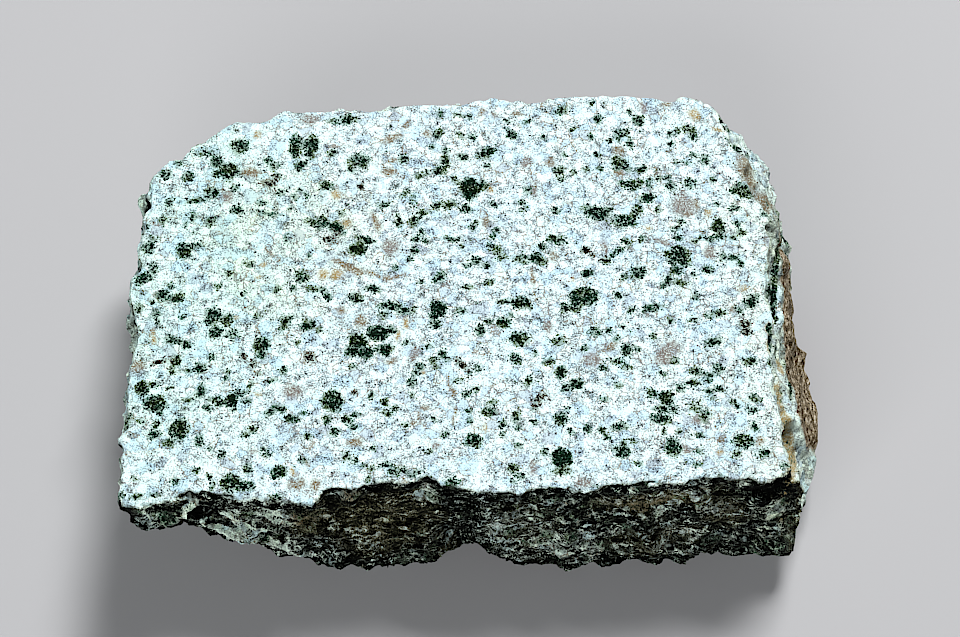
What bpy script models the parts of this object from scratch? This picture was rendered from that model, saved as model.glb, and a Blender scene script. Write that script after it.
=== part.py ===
"""A hand specimen of monzonite: one slab of coarse igneous rock, broken on every side.

X runs along the slab, Y from its steep front face to its straight back edge, and Z is up.
The slab starts as a loft through outlines at five heights. It is trimmed by flat breaks,
turned into an even skin, roughened into ledges, hollows and tilted grains, and thinned.
It lies on one small flat spot in its uneven underside.
"""

import math

import bmesh
import bpy
from mathutils import Vector, noise

MM = 0.001

# Outlines of the slab in millimetres, anticlockwise from the front left corner.
TOP_HEIGHT = 27.3
TOP_RIM = (
    (-52, -36), (-48, -35.3), (-42.5, -35), (-40, -34), (-35, -35.3), (-29, -35.8), (-22, -36),
    (-20.5, -34.5), (-15.5, -33), (-9, -32.6), (-4, -33), (2, -34.4), (10, -34), (18, -34),
    (24, -32.3), (34.5, -31), (43.5, -30.6), (47.5, -31.5), (48.3, -30), (46.8, -24.5),
    (45.4, -15.5), (46.4, -10.5), (46, -5), (46.8, 1), (46.8, 13), (45.4, 19), (42.5, 25.5),
    (38.5, 33.3), (36, 36.3), (29, 36.4), (21, 36.8), (12, 36.5), (0, 35.4), (-10, 34.1),
    (-20, 33.4), (-30, 32.2), (-37, 31.6), (-41, 29.6), (-45, 27.2), (-48.8, 24.5),
    (-51.3, 21), (-52, 15), (-52, 10), (-53, 2), (-52.7, -8), (-51.8, -15), (-52.7, -24),
    (-52.3, -32),
)
SHOULDER_HEIGHT = 21.0
SHOULDER = (
    (-51.7, -37.2), (-46.5, -36), (-43, -34.8), (-36, -34.4), (-29, -35.2), (-22, -35.3),
    (-16, -33.2), (-8, -32.4), (2, -34), (18, -33.8), (24, -32.8), (34.5, -32), (44, -31.6),
    (51, -31.2), (50.8, -27), (50.2, -16), (49.6, -6), (49.8, 12), (50.4, 18), (48.8, 24.5),
    (45.5, 30), (41, 34.8), (36, 37), (21, 37.2), (12, 36.8), (0, 35.8), (-20, 34),
    (-30, 33), (-38, 32), (-42, 30.2), (-45.5, 27.2), (-49.8, 24), (-52, 20.5), (-52.4, 8),
    (-53.6, 1), (-53.2, -8), (-52.4, -15), (-53.2, -24),
)
WAIST_HEIGHT = 13.0
WAIST = (
    (-51, -34), (-42, -33.6), (-35, -33.6), (-26, -34.6), (-17, -34.2), (-9, -33.4), (-1, -33.2),
    (6, -34), (15, -34.6), (24, -34), (34.5, -33), (44, -32.8), (51.6, -31),
    (52.2, -25), (52.4, -14), (51.4, -5), (51.6, 3), (51.8, 18), (49.8, 26), (46, 31.5),
    (41, 35.5), (36, 37), (21, 37.8), (8, 36.6), (-6, 35.8), (-20, 34.6), (-32, 34),
    (-40, 31.6), (-46, 27), (-50.6, 22.5), (-52, 15), (-52.2, 6), (-53, -2), (-52.2, -10),
    (-51.6, -18), (-52.2, -27),
)
FOOT_HEIGHT = 5.0
FOOT = (
    (-49, -31), (-36, -33.6), (-29.5, -35.2), (-20, -35.4), (-11, -35.2), (-5, -34.6),
    (-2, -33.4), (4, -33.6), (9, -34.6), (15, -35.6), (23, -34.8), (31.5, -34), (42.7, -33.8),
    (50, -33.6), (52.4, -31.4), (52.6, -25), (55.4, -18), (56, -15), (54.6, -8), (53.4, -1),
    (53.4, 7), (53.8, 17), (52, 22.5), (48.5, 28.5), (43, 33.5), (36, 35.6), (21, 36.2), (8, 35.4),
    (-6, 34.6), (-20, 33.4), (-32, 32.4), (-39.5, 30), (-45.5, 25.5), (-49.5, 20.5),
    (-50.8, 12), (-50.4, 5), (-51.4, -3), (-50.6, -12), (-50.4, -22),
)
SOLE = (
    (-42, -28), (-30, -33), (-23, -35), (-15.5, -35), (-6.5, -34.4), (-2.4, -31.8), (4, -31.6),
    (7, -33.8), (15, -35.4), (23, -34.4), (31.5, -33.4), (42, -33), (49, -31.6), (51, -23),
    (53, -15), (52, -8), (51, 0), (50.4, 8), (50.4, 16), (48.5, 21.5), (45, 27), (38, 31),
    (21, 32.6), (8, 31.8), (-6, 31), (-20, 30), (-32, 28.6), (-38.5, 26), (-43.5, 21.5),
    (-46, 14), (-46.5, 5), (-47, -4), (-46, -13), (-45, -21),
)
LOFT_SIDES = 180

# Flat breaks that take off a corner, as a point on the break and the way it faces.
BREAKS = (
    ((-50, -34, 15.5), (-0.44, -0.44, -0.79)),
    ((44.5, 24, 27), (0.42, 0.3, 0.86)),
    ((-50, 24, 5), (-0.5, 0.45, -0.74)),
    ((49, 30, 7), (0.46, 0.5, -0.73)),
)

# The skin that the relief is worked into, and the number of faces left in the end.
SKIN_CELL = 1.0
SKIN_SMOOTHING = 1
FACES_KEPT = 9400

# Hollows (and lumps, with a depth below zero) that stand out by themselves: the centre, the
# half sizes along X, Y and Z, and the depth.
HOLLOWS = (
    ((-33, -37, 18), (11, 6, 5), 2.2),
    ((-9, -36, 15), (16, 6, 7), 2.0),
    ((0, -36, 1), (4, 6, 5), 1.3),
    ((-39, -35, 11), (7, 5, 4), -1.5),
    ((-28, -35, 5), (9, 5, 4), -0.9),
    ((15, -36, 2), (5, 6, 6), -0.7),
    ((34, -35, 9), (13, 6, 5), 1.3),
    ((47, -34, 14), (6, 7, 9), -0.7),
    ((50, -2, 18), (4, 20, 3.2), 1.1),
    ((55, 8, 11), (5, 9, 7), 0.9),
    ((-54, -12, 14), (5, 14, 8), 1.6),
    ((-53, 14, 9), (5, 8, 7), -1.0),
    ((-22, 38, 13), (15, 6, 8), 1.8),
    ((16, 39, 10), (12, 6, 7), 1.2),
    ((2, 38, 20), (9, 5, 5), -0.9),
    ((-26, -8, 0), (16, 13, 6), 2.2),
    ((30, 14, 0), (14, 12, 6), 1.8),
    ((34, -18, 0), (10, 8, 5), 1.2),
)

# A shallow step runs across the top face, low on its nearer side.
TOP_STEP = ((-27, 16.5), (-14.5, 3.5))
TOP_STEP_DEPTH = 0.8
TOP_STEP_REACH = 3.2

# Relief, in millimetres: how wide each kind is and how far it stands from the mean surface.
LUMP_SIZE, LUMP_HEIGHT = 19.0, 0.9
SIDE_GRAIN_SIZE, SIDE_GRAIN_HEIGHT = 11.0, 3.6
TOP_GRAIN_SIZE, TOP_GRAIN_HEIGHT = 6.5, 0.85
SMALL_GRAIN_SIZE, SMALL_GRAIN_HEIGHT = 4.0, 1.3
LEDGE_PITCH, LEDGE_DEPTH, LEDGE_WARP = 5.2, 1.5, 4.0
LEDGE_PATCH = 13.0

# The underside rises from a flat spot, as a shallow bowl turned over, with lumps and tilted
# grains in it. The rise dies out up the sides.
REST_CENTRE = (2.0, -5.0)
REST_BOWL = (44.0, 42.0)
REST_BOWL_RISE = 2.7
REST_LUMP_SIZE, REST_LUMP_RISE = 16.0, 1.6
REST_GRAIN_SIZE, REST_GRAIN_RISE = 8.5, 2.6
REST_SINK = 0.1
SOLE_PRESSED = 0.3
SOLE_UNEVEN = 0.03
RISE_FADES_AT = 13.0

STONE_COLOUR = (0.58, 0.61, 0.6, 1.0)
STONE_ROUGHNESS = 0.78


def clear_scene():
    """Remove whatever the scene holds, so that only the stone is left in the end."""
    for thing in list(bpy.data.objects):
        bpy.data.objects.remove(thing, do_unlink=True)


def reach(outline, angle):
    """The distance from the slab's axis to its outline in one direction."""
    way = (math.cos(angle), math.sin(angle))
    longest = 0.0
    for index, (x0, y0) in enumerate(outline):
        x1, y1 = outline[(index + 1) % len(outline)]
        edge = (x1 - x0, y1 - y0)
        across = way[0] * edge[1] - way[1] * edge[0]
        if abs(across) < 1e-9:
            continue
        along = (x0 * way[1] - y0 * way[0]) / across
        distance = (x0 * edge[1] - y0 * edge[0]) / across
        if -1e-9 <= along <= 1 + 1e-9 and distance > longest:
            longest = distance
    return longest


def ring(bm, outline, height):
    """One closed row of points round the slab, at one height."""
    points = []
    for side in range(LOFT_SIDES):
        angle = math.tau * side / LOFT_SIDES
        distance = reach(outline, angle)
        place = (distance * math.cos(angle), distance * math.sin(angle), height)
        points.append(bm.verts.new(Vector(place) * MM))
    return points


def loft_slab(bm):
    """Join the outlines from the sole up to the top rim, and close both ends."""
    levels = (
        (SOLE, 0.0),
        (FOOT, FOOT_HEIGHT),
        (WAIST, WAIST_HEIGHT),
        (SHOULDER, SHOULDER_HEIGHT),
        (TOP_RIM, TOP_HEIGHT),
    )
    rings = [ring(bm, outline, height) for outline, height in levels]
    for lower, upper in zip(rings, rings[1:]):
        for side in range(LOFT_SIDES):
            after = (side + 1) % LOFT_SIDES
            bm.faces.new((lower[side], lower[after], upper[after], upper[side]))
    bm.faces.new(rings[-1])
    bm.faces.new(tuple(reversed(rings[0])))


def break_off(bm, point, facing):
    """Cut the slab on a plane, drop what lies beyond it and close the cut."""
    everything = bm.verts[:] + bm.edges[:] + bm.faces[:]
    place = Vector(point) * MM
    cut = bmesh.ops.bisect_plane(
        bm, geom=everything, dist=1e-7, plane_co=place, plane_no=Vector(facing), clear_outer=True
    )
    rim = [piece for piece in cut["geom_cut"] if isinstance(piece, bmesh.types.BMEdge)]
    bmesh.ops.contextual_create(bm, geom=rim)


def evaluated_mesh(thing):
    """The object's mesh with its modifiers worked in."""
    graph = bpy.context.evaluated_depsgraph_get()
    return bpy.data.meshes.new_from_object(thing.evaluated_get(graph))


def apply_modifiers(thing):
    """Swap the object's mesh for the one that its modifiers give, and drop them."""
    rough = thing.data
    thing.data = evaluated_mesh(thing)
    thing.modifiers.clear()
    bpy.data.meshes.remove(rough)


def even_skin(stone):
    """Give the stone one closed skin of evenly spaced faces."""
    skin = stone.modifiers.new("Even skin", "REMESH")
    skin.mode = "VOXEL"
    skin.voxel_size = SKIN_CELL * MM
    apply_modifiers(stone)


def make_slab(collection):
    """The trimmed slab as an object."""
    bm = bmesh.new()
    loft_slab(bm)
    for point, facing in BREAKS:
        break_off(bm, point, facing)
    bmesh.ops.recalc_face_normals(bm, faces=bm.faces)
    mesh = bpy.data.meshes.new("monzonite")
    bm.to_mesh(mesh)
    bm.free()
    stone = bpy.data.objects.new("monzonite", mesh)
    collection.objects.link(stone)
    return stone


def tilted_grains(place, size, seed):
    """Height over the mean surface where each grain of this size tilts its own way."""
    spot = place / size + Vector((seed, 2.0 * seed, 3.0 * seed))
    centre = noise.voronoi(spot)[1][0]
    tilt = noise.cell_vector(centre * 91.7) - Vector((0.5, 0.5, 0.5))
    return (spot - centre).dot(tilt)


def stepped(height, place):
    """Offset of a stepped face: each ledge juts out and the rock below it leans back."""
    wander = LEDGE_WARP * noise.noise(place / 11.0) + 0.09 * place.x
    down = (wander - height) / LEDGE_PITCH
    return 0.5 - (down - math.floor(down))


def hollow_depth(place):
    """How far the named hollows and lumps take the surface in at one place."""
    total = 0.0
    for centre, half, depth in HOLLOWS:
        offset = [(place[axis] - centre[axis]) / half[axis] for axis in range(3)]
        distance = sum(part * part for part in offset)
        if distance < 4.0:
            total += depth * math.exp(-1.6 * distance)
    return total


def step_depth(place):
    """How far the shallow step takes the top face down."""
    start, end = Vector(TOP_STEP[0]), Vector(TOP_STEP[1])
    run = end - start
    from_start = Vector((place.x, place.y)) - start
    along = from_start.dot(run) / run.length_squared
    if along < -0.25 or along > 1.25:
        return 0.0
    across = (from_start.x * run.y - from_start.y * run.x) / run.length
    across += 1.2 * noise.noise(place / 4.0)
    if across < 0:
        return 0.0
    fade = math.sin(math.pi * (along + 0.25) / 1.5)
    return TOP_STEP_DEPTH * fade * math.exp(-across / TOP_STEP_REACH)


def relief(place, normal):
    """How far one point of the skin moves along its normal."""
    level = max(normal.z, 0.0) ** 2
    below = max(-normal.z, 0.0) ** 2
    upright = 1.0 - level - below
    ledges = 0.45 + 0.55 * max(-normal.y, 0.0)
    ledges *= min(1.0, max(0.0, 0.6 + 1.4 * noise.noise(place / LEDGE_PATCH)))
    moved = LUMP_HEIGHT * (1.0 - 0.65 * level) * noise.noise(place / LUMP_SIZE)
    moved += upright * SIDE_GRAIN_HEIGHT * tilted_grains(place, SIDE_GRAIN_SIZE, 1.0)
    moved += level * TOP_GRAIN_HEIGHT * tilted_grains(place, TOP_GRAIN_SIZE, 2.0)
    moved += (1.0 - 0.4 * level) * SMALL_GRAIN_HEIGHT * tilted_grains(place, SMALL_GRAIN_SIZE, 3.0)
    moved += upright * ledges * LEDGE_DEPTH * stepped(place.z, place)
    moved -= level * step_depth(place)
    return moved * (1.0 - below) - hollow_depth(place)


def roughen(stone):
    """Work the relief into the skin, along the normals that it has before."""
    stone.data.update()
    normals = [vertex.normal.copy() for vertex in stone.data.vertices]
    for vertex, normal in zip(stone.data.vertices, normals):
        place = vertex.co / MM
        vertex.co = (place + normal * relief(place, normal)) * MM


def underside_rise(place):
    """Height of the underside over the surface that the stone rests on."""
    x = (place.x - REST_CENTRE[0]) / REST_BOWL[0]
    y = (place.y - REST_CENTRE[1]) / REST_BOWL[1]
    spot = Vector((place.x, place.y, 0.0))
    bowl = REST_BOWL_RISE * (x * x + y * y)
    lumps = REST_LUMP_RISE * noise.noise(spot / REST_LUMP_SIZE + Vector((5.0, 0.0, 0.0)))
    grains = REST_GRAIN_RISE * tilted_grains(spot, REST_GRAIN_SIZE, 4.0)
    return max(0.0, bowl + lumps + grains - REST_SINK)


def raise_underside(stone):
    """Lift the underside all round the spot that the stone rests on."""
    for vertex in stone.data.vertices:
        place = vertex.co / MM
        fade = min(1.0, max(0.0, 1.0 - place.z / RISE_FADES_AT))
        place.z += fade * underside_rise(place)
        vertex.co = place * MM


def wear_edges(stone):
    """Take the knife edges off the broken surface."""
    worn = stone.modifiers.new("Worn edges", "SMOOTH")
    worn.factor = 0.5
    worn.iterations = SKIN_SMOOTHING
    apply_modifiers(stone)


def press_flat(stone, depth):
    """Take this much off the lowest spot and leave it quite flat, at the height of the ground."""
    for vertex in stone.data.vertices:
        height = vertex.co.z / MM - depth
        vertex.co.z = 0.0 if height < SOLE_UNEVEN else height * MM


def thin_out(stone):
    """Merge faces until only the wanted number of triangles is left."""
    stone.data.calc_loop_triangles()
    thinned = stone.modifiers.new("Fewer faces", "DECIMATE")
    thinned.ratio = FACES_KEPT / len(stone.data.loop_triangles)
    thinned.use_collapse_triangulate = True
    apply_modifiers(stone)


def centre_on_base(stone):
    """Move the stone so that the origin is at the middle of its base."""
    corners = [vertex.co.copy() for vertex in stone.data.vertices]
    low = Vector([min(corner[axis] for corner in corners) for axis in range(3)])
    high = Vector([max(corner[axis] for corner in corners) for axis in range(3)])
    middle = (low + high) / 2
    for vertex in stone.data.vertices:
        vertex.co -= Vector((middle.x, middle.y, low.z))


def stone_material():
    """Pale grey rock, dull all over."""
    material = bpy.data.materials.new("Monzonite")
    material.use_nodes = True
    shader = material.node_tree.nodes["Principled BSDF"]
    shader.inputs["Base Color"].default_value = STONE_COLOUR
    shader.inputs["Roughness"].default_value = STONE_ROUGHNESS
    shader.inputs["Metallic"].default_value = 0.0
    return material


def build():
    clear_scene()
    collection = bpy.data.collections.new("Monzonite specimen")
    bpy.context.scene.collection.children.link(collection)
    stone = make_slab(collection)
    even_skin(stone)
    roughen(stone)
    raise_underside(stone)
    even_skin(stone)
    wear_edges(stone)
    press_flat(stone, SOLE_PRESSED)
    thin_out(stone)
    press_flat(stone, 0.0)
    centre_on_base(stone)
    stone.data.materials.clear()
    stone.data.materials.append(stone_material())


build()
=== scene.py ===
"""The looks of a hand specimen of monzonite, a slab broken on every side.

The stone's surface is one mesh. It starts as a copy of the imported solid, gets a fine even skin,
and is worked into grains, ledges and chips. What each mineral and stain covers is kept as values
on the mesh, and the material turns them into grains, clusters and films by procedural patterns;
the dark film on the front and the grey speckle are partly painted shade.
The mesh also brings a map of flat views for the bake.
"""
import itertools
import math

import bpy
import numpy as np
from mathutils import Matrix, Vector, noise


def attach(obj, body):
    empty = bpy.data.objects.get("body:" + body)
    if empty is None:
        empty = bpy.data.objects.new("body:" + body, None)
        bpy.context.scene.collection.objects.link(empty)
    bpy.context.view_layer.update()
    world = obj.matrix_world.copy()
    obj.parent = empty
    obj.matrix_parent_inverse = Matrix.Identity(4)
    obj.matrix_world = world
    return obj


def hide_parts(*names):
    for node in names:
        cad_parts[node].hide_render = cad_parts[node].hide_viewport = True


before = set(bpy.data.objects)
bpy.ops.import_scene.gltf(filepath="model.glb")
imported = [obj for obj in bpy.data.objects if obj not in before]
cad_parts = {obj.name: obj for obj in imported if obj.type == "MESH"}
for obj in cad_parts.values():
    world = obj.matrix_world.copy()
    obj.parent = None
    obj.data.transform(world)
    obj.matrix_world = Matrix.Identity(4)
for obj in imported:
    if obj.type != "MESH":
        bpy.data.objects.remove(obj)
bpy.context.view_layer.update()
MM = 0.001

# The skin: the cell of the even mesh, the smoothing that takes off the solid's facets, the number
# of triangles kept in the end, most of them on the top and the front, and how many neighbours away
# the surface is averaged to tell which way a side faces.
SKIN_CELL = 0.38
SKIN_SMOOTHING = 4
FACES_KEPT = 197000
BROAD_SPREAD = 24

# The rims: how many neighbours away a rim is compared with what lies round it, how much of the
# difference is added, and the most, in millimetres, that a place rises or sinks.
EDGE_REACH = 40
EDGE_GAIN = 0.9
EDGE_RISE, EDGE_SINK = 0.9, 0.3

# Facets: their size in millimetres, how steeply they tilt, how hollow they are, and a seed.
TOP_FACETS = ((4.5, 0.10, 0.08, 11), (1.7, 0.14, 0.14, 13), (0.95, 0.10, 0.12, 15))
SIDE_FACETS = ((5.5, 0.28, 0.25, 17), (2.4, 0.40, 0.32, 19), (1.25, 0.45, 0.35, 21))

# In millimetres: the size and the height of the crumbled grains over all facets, how deep the dark
# patches lie, and the height up to which the stone belongs to its rest face.
CRUMBLE_SIZE, CRUMBLE_HEIGHT = 0.7, 0.06
PATCH_PITS = 0.08
REST_KEPT = 0.12

# Ledges along the sides, in millimetres: how thick they are, how far they stand out all round and
# besides on the front, and how steeply they dip to the right on the front's left end.
LEDGE_THICKNESS = 2.3
LEDGE_HEIGHT = 0.5
FRONT_LEDGE_HEIGHT = 0.7
LEDGE_DIP = 0.7
LEDGE_DIP_END = -23.0

# Hollows in the front: the middle along X and Z, the half sizes, the turn in degrees, the depth.
FRONT_HOLLOWS = (
    (-41.5, 18.5, 3.2, 4.0, 15, 1.5), (-19.0, 20.5, 5.0, 2.2, 0, 0.6), (44.5, 22.0, 3.6, 2.6, 0, 0.7),
    (28.0, 16.8, 8.0, 0.7, 0, 0.8), (4.0, 15.0, 2.5, 3.0, 0, 0.5), (-2.0, 9.0, 4.0, 2.0, 0, 0.5),
)

# Ribs on the front, as the places along X and Z that each runs through and its width, and how
# high they stand.
FRONT_RIBS = (
    (((-50.0, 26.5), (-48.3, 24.0), (-46.8, 21.0)), 0.55),
    (((-46.8, 21.0), (-45.0, 22.3), (-43.2, 24.3), (-41.9, 25.4)), 0.55),
    (((-42.2, 14.7), (-38.0, 11.8), (-34.8, 10.5)), 0.5),
    (((-34.7, 11.8), (-31.8, 9.0), (-28.8, 7.2), (-25.0, 5.5)), 0.5),
    (((-41.5, 17.0), (-37.0, 14.8), (-32.3, 12.6)), 0.4),
    (((-38.4, 21.5), (-34.2, 18.9), (-29.0, 16.0)), 0.4),
    (((-31.0, 20.5), (-26.5, 17.5)), 0.35),
)
RIB_HEIGHT = 0.55

# How far the sides are drawn in all over, in millimetres, and the swells and dents that follow the
# outline in the photograph: the middle, the reach and how far each is drawn out.
OUTWARD_BIAS = 0.15
SWELLS = (
    ((2.5, -33.5, 4.5), 3.5, 1.5), ((5.5, -33.2, 3.0), 3.5, 1.0), ((8.5, -34.5, 3.5), 3.0, 0.5),
    ((34.5, -34.5, 5.0), 3.5, 1.0), ((39.0, -34.0, 4.5), 3.0, 0.5), ((44.5, -34.5, 6.0), 3.5, 0.9),
    ((48.5, -35.0, 8.6), 2.5, 0.5), ((27.4, -35.7, 6.5), 3.5, 0.9), ((-44.9, -34.4, 12.9), 3.0, -1.6),
    ((-32.3, -36.4, 9.7), 3.5, -1.2), ((-27.0, -36.7, 7.9), 4.0, -0.7), ((-11.4, -37.4, 3.9), 4.0, -1.4),
    ((-1.0, -33.0, 4.8), 2.5, -1.4), ((15.0, -37.9, 3.5), 3.5, -1.2), ((-40.0, -35.5, 13.0), 3.0, -0.5),
    ((52.0, -29.5, 12.5), 5.0, -1.3), ((51.5, -33.0, 10.5), 3.5, -0.8), ((-50.7, -36.3, 25.5), 2.5, 0.8),
    ((-26.0, 32.9, 26.5), 4.0, -0.8), ((-31.0, 32.0, 27.0), 3.5, -0.7), ((23.0, 36.3, 27.0), 3.5, -1.5),
    ((28.5, 35.8, 27.0), 3.5, -1.0), ((11.7, 35.6, 27.3), 3.0, -0.9), ((-52.9, 16.7, 26.3), 3.0, -1.0),
    ((-45.6, 26.1, 27.2), 2.5, -1.4), ((-53.5, -8.0, 24.0), 5.0, -0.7),
    ((-53.4, -21.0, 26.0), 3.0, -0.9),
    ((-52.4, -0.4, 26.5), 2.5, 1.1), ((-52.0, -27.6, 26.5), 2.5, 0.9), ((52.3, 11.2, 8.2), 4.5, -0.8),
    ((51.8, 15.3, 12.8), 3.0, -0.4), ((53.4, -4.5, 9.8), 4.0, -0.9), ((50.5, 0.8, 13.0), 2.5, 0.7),
)

# Grooves along the right flank, as the places that each runs through on the plan and its width,
# and how deep they are.
FLANK_GROOVES = (
    (((48.9, 12.5), (47.7, 6.5), (46.9, 1.0), (47.0, -3.6)), 0.75),
    (((46.9, -16.5), (47.0, -20.5), (48.0, -24.5), (49.3, -28.5)), 0.7),
    (((45.5, -6.0), (45.6, -10.0)), 0.4),
    (((48.4, -6.0), (48.6, -12.0), (48.9, -17.0)), 0.5),
)
GROOVE_DEPTH = 0.6

# The tan weathered face on the right: where it begins along X, for places along Y, where it ends
# along Y at the front, at this height and with this slant, and where it ends at the back.
TAN_ALONG = (-24.0, -19.1, -15.6, -9.0, 0.7, 5.0, 11.0)
TAN_BOUND = (51.2, 49.7, 49.4, 49.4, 49.0, 49.5, 48.7)
TAN_FRONT_END, TAN_FRONT_HEIGHT, TAN_FRONT_SLANT = -19.0, 8.4, 0.5
TAN_BACK_END = 14.0

# Pits in the tan face, by their middles, and how wide and deep they are.
TAN_PITS = (
    (51.3, 0.7, 10.7), (50.6, -3.0, 14.4), (52.3, -3.7, 11.2), (50.4, -7.3, 14.0), (49.9, -9.1, 14.7),
    (49.6, -15.6, 21.7), (50.0, -16.6, 21.4), (50.7, -17.8, 19.3), (51.8, -13.0, 12.0),
)
PIT_REACH, PIT_DEPTH = 0.6, 0.5

# Brown and ochre streaks down the right flank, as the places that each runs through on the plan
# and its width.
FLANK_STREAKS = (
    (((46.5, -15.8), (46.9, -19.5), (47.6, -21.5)), 0.6),
    (((47.6, -21.5), (48.3, -24.5), (48.4, -27.5), (47.9, -31.2)), 1.15),
    (((45.3, -6.0), (45.4, -11.0)), 0.25), (((47.3, -10.5), (47.3, -12.8)), 0.5),
    (((49.0, 11.3), (49.0, 10.2)), 0.5),
)

# How full of dark grains a patch is, at its middle.
SOLID, STRONG, SPONGY, THIN = 1.15, 0.92, 0.72, 0.5

# In millimetres: the width over which a patch's grains thin out, how far they stray past its
# stated sizes, and the least half size that the skin's mesh can carry. The last one is how full
# places outside all patches are.
PATCH_RIM = 0.55
PATCH_SPREAD = 0.24
PATCH_LEAST = 0.36
OUTSIDE = -3.0

# How many patches the draw for the hidden sides makes, its seed, and how many times the mean a
# vertex may count in it.
HIDDEN_PATCHES, HIDDEN_SEED, HIDDEN_SHARE = 1000, 5, 8.0

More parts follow.
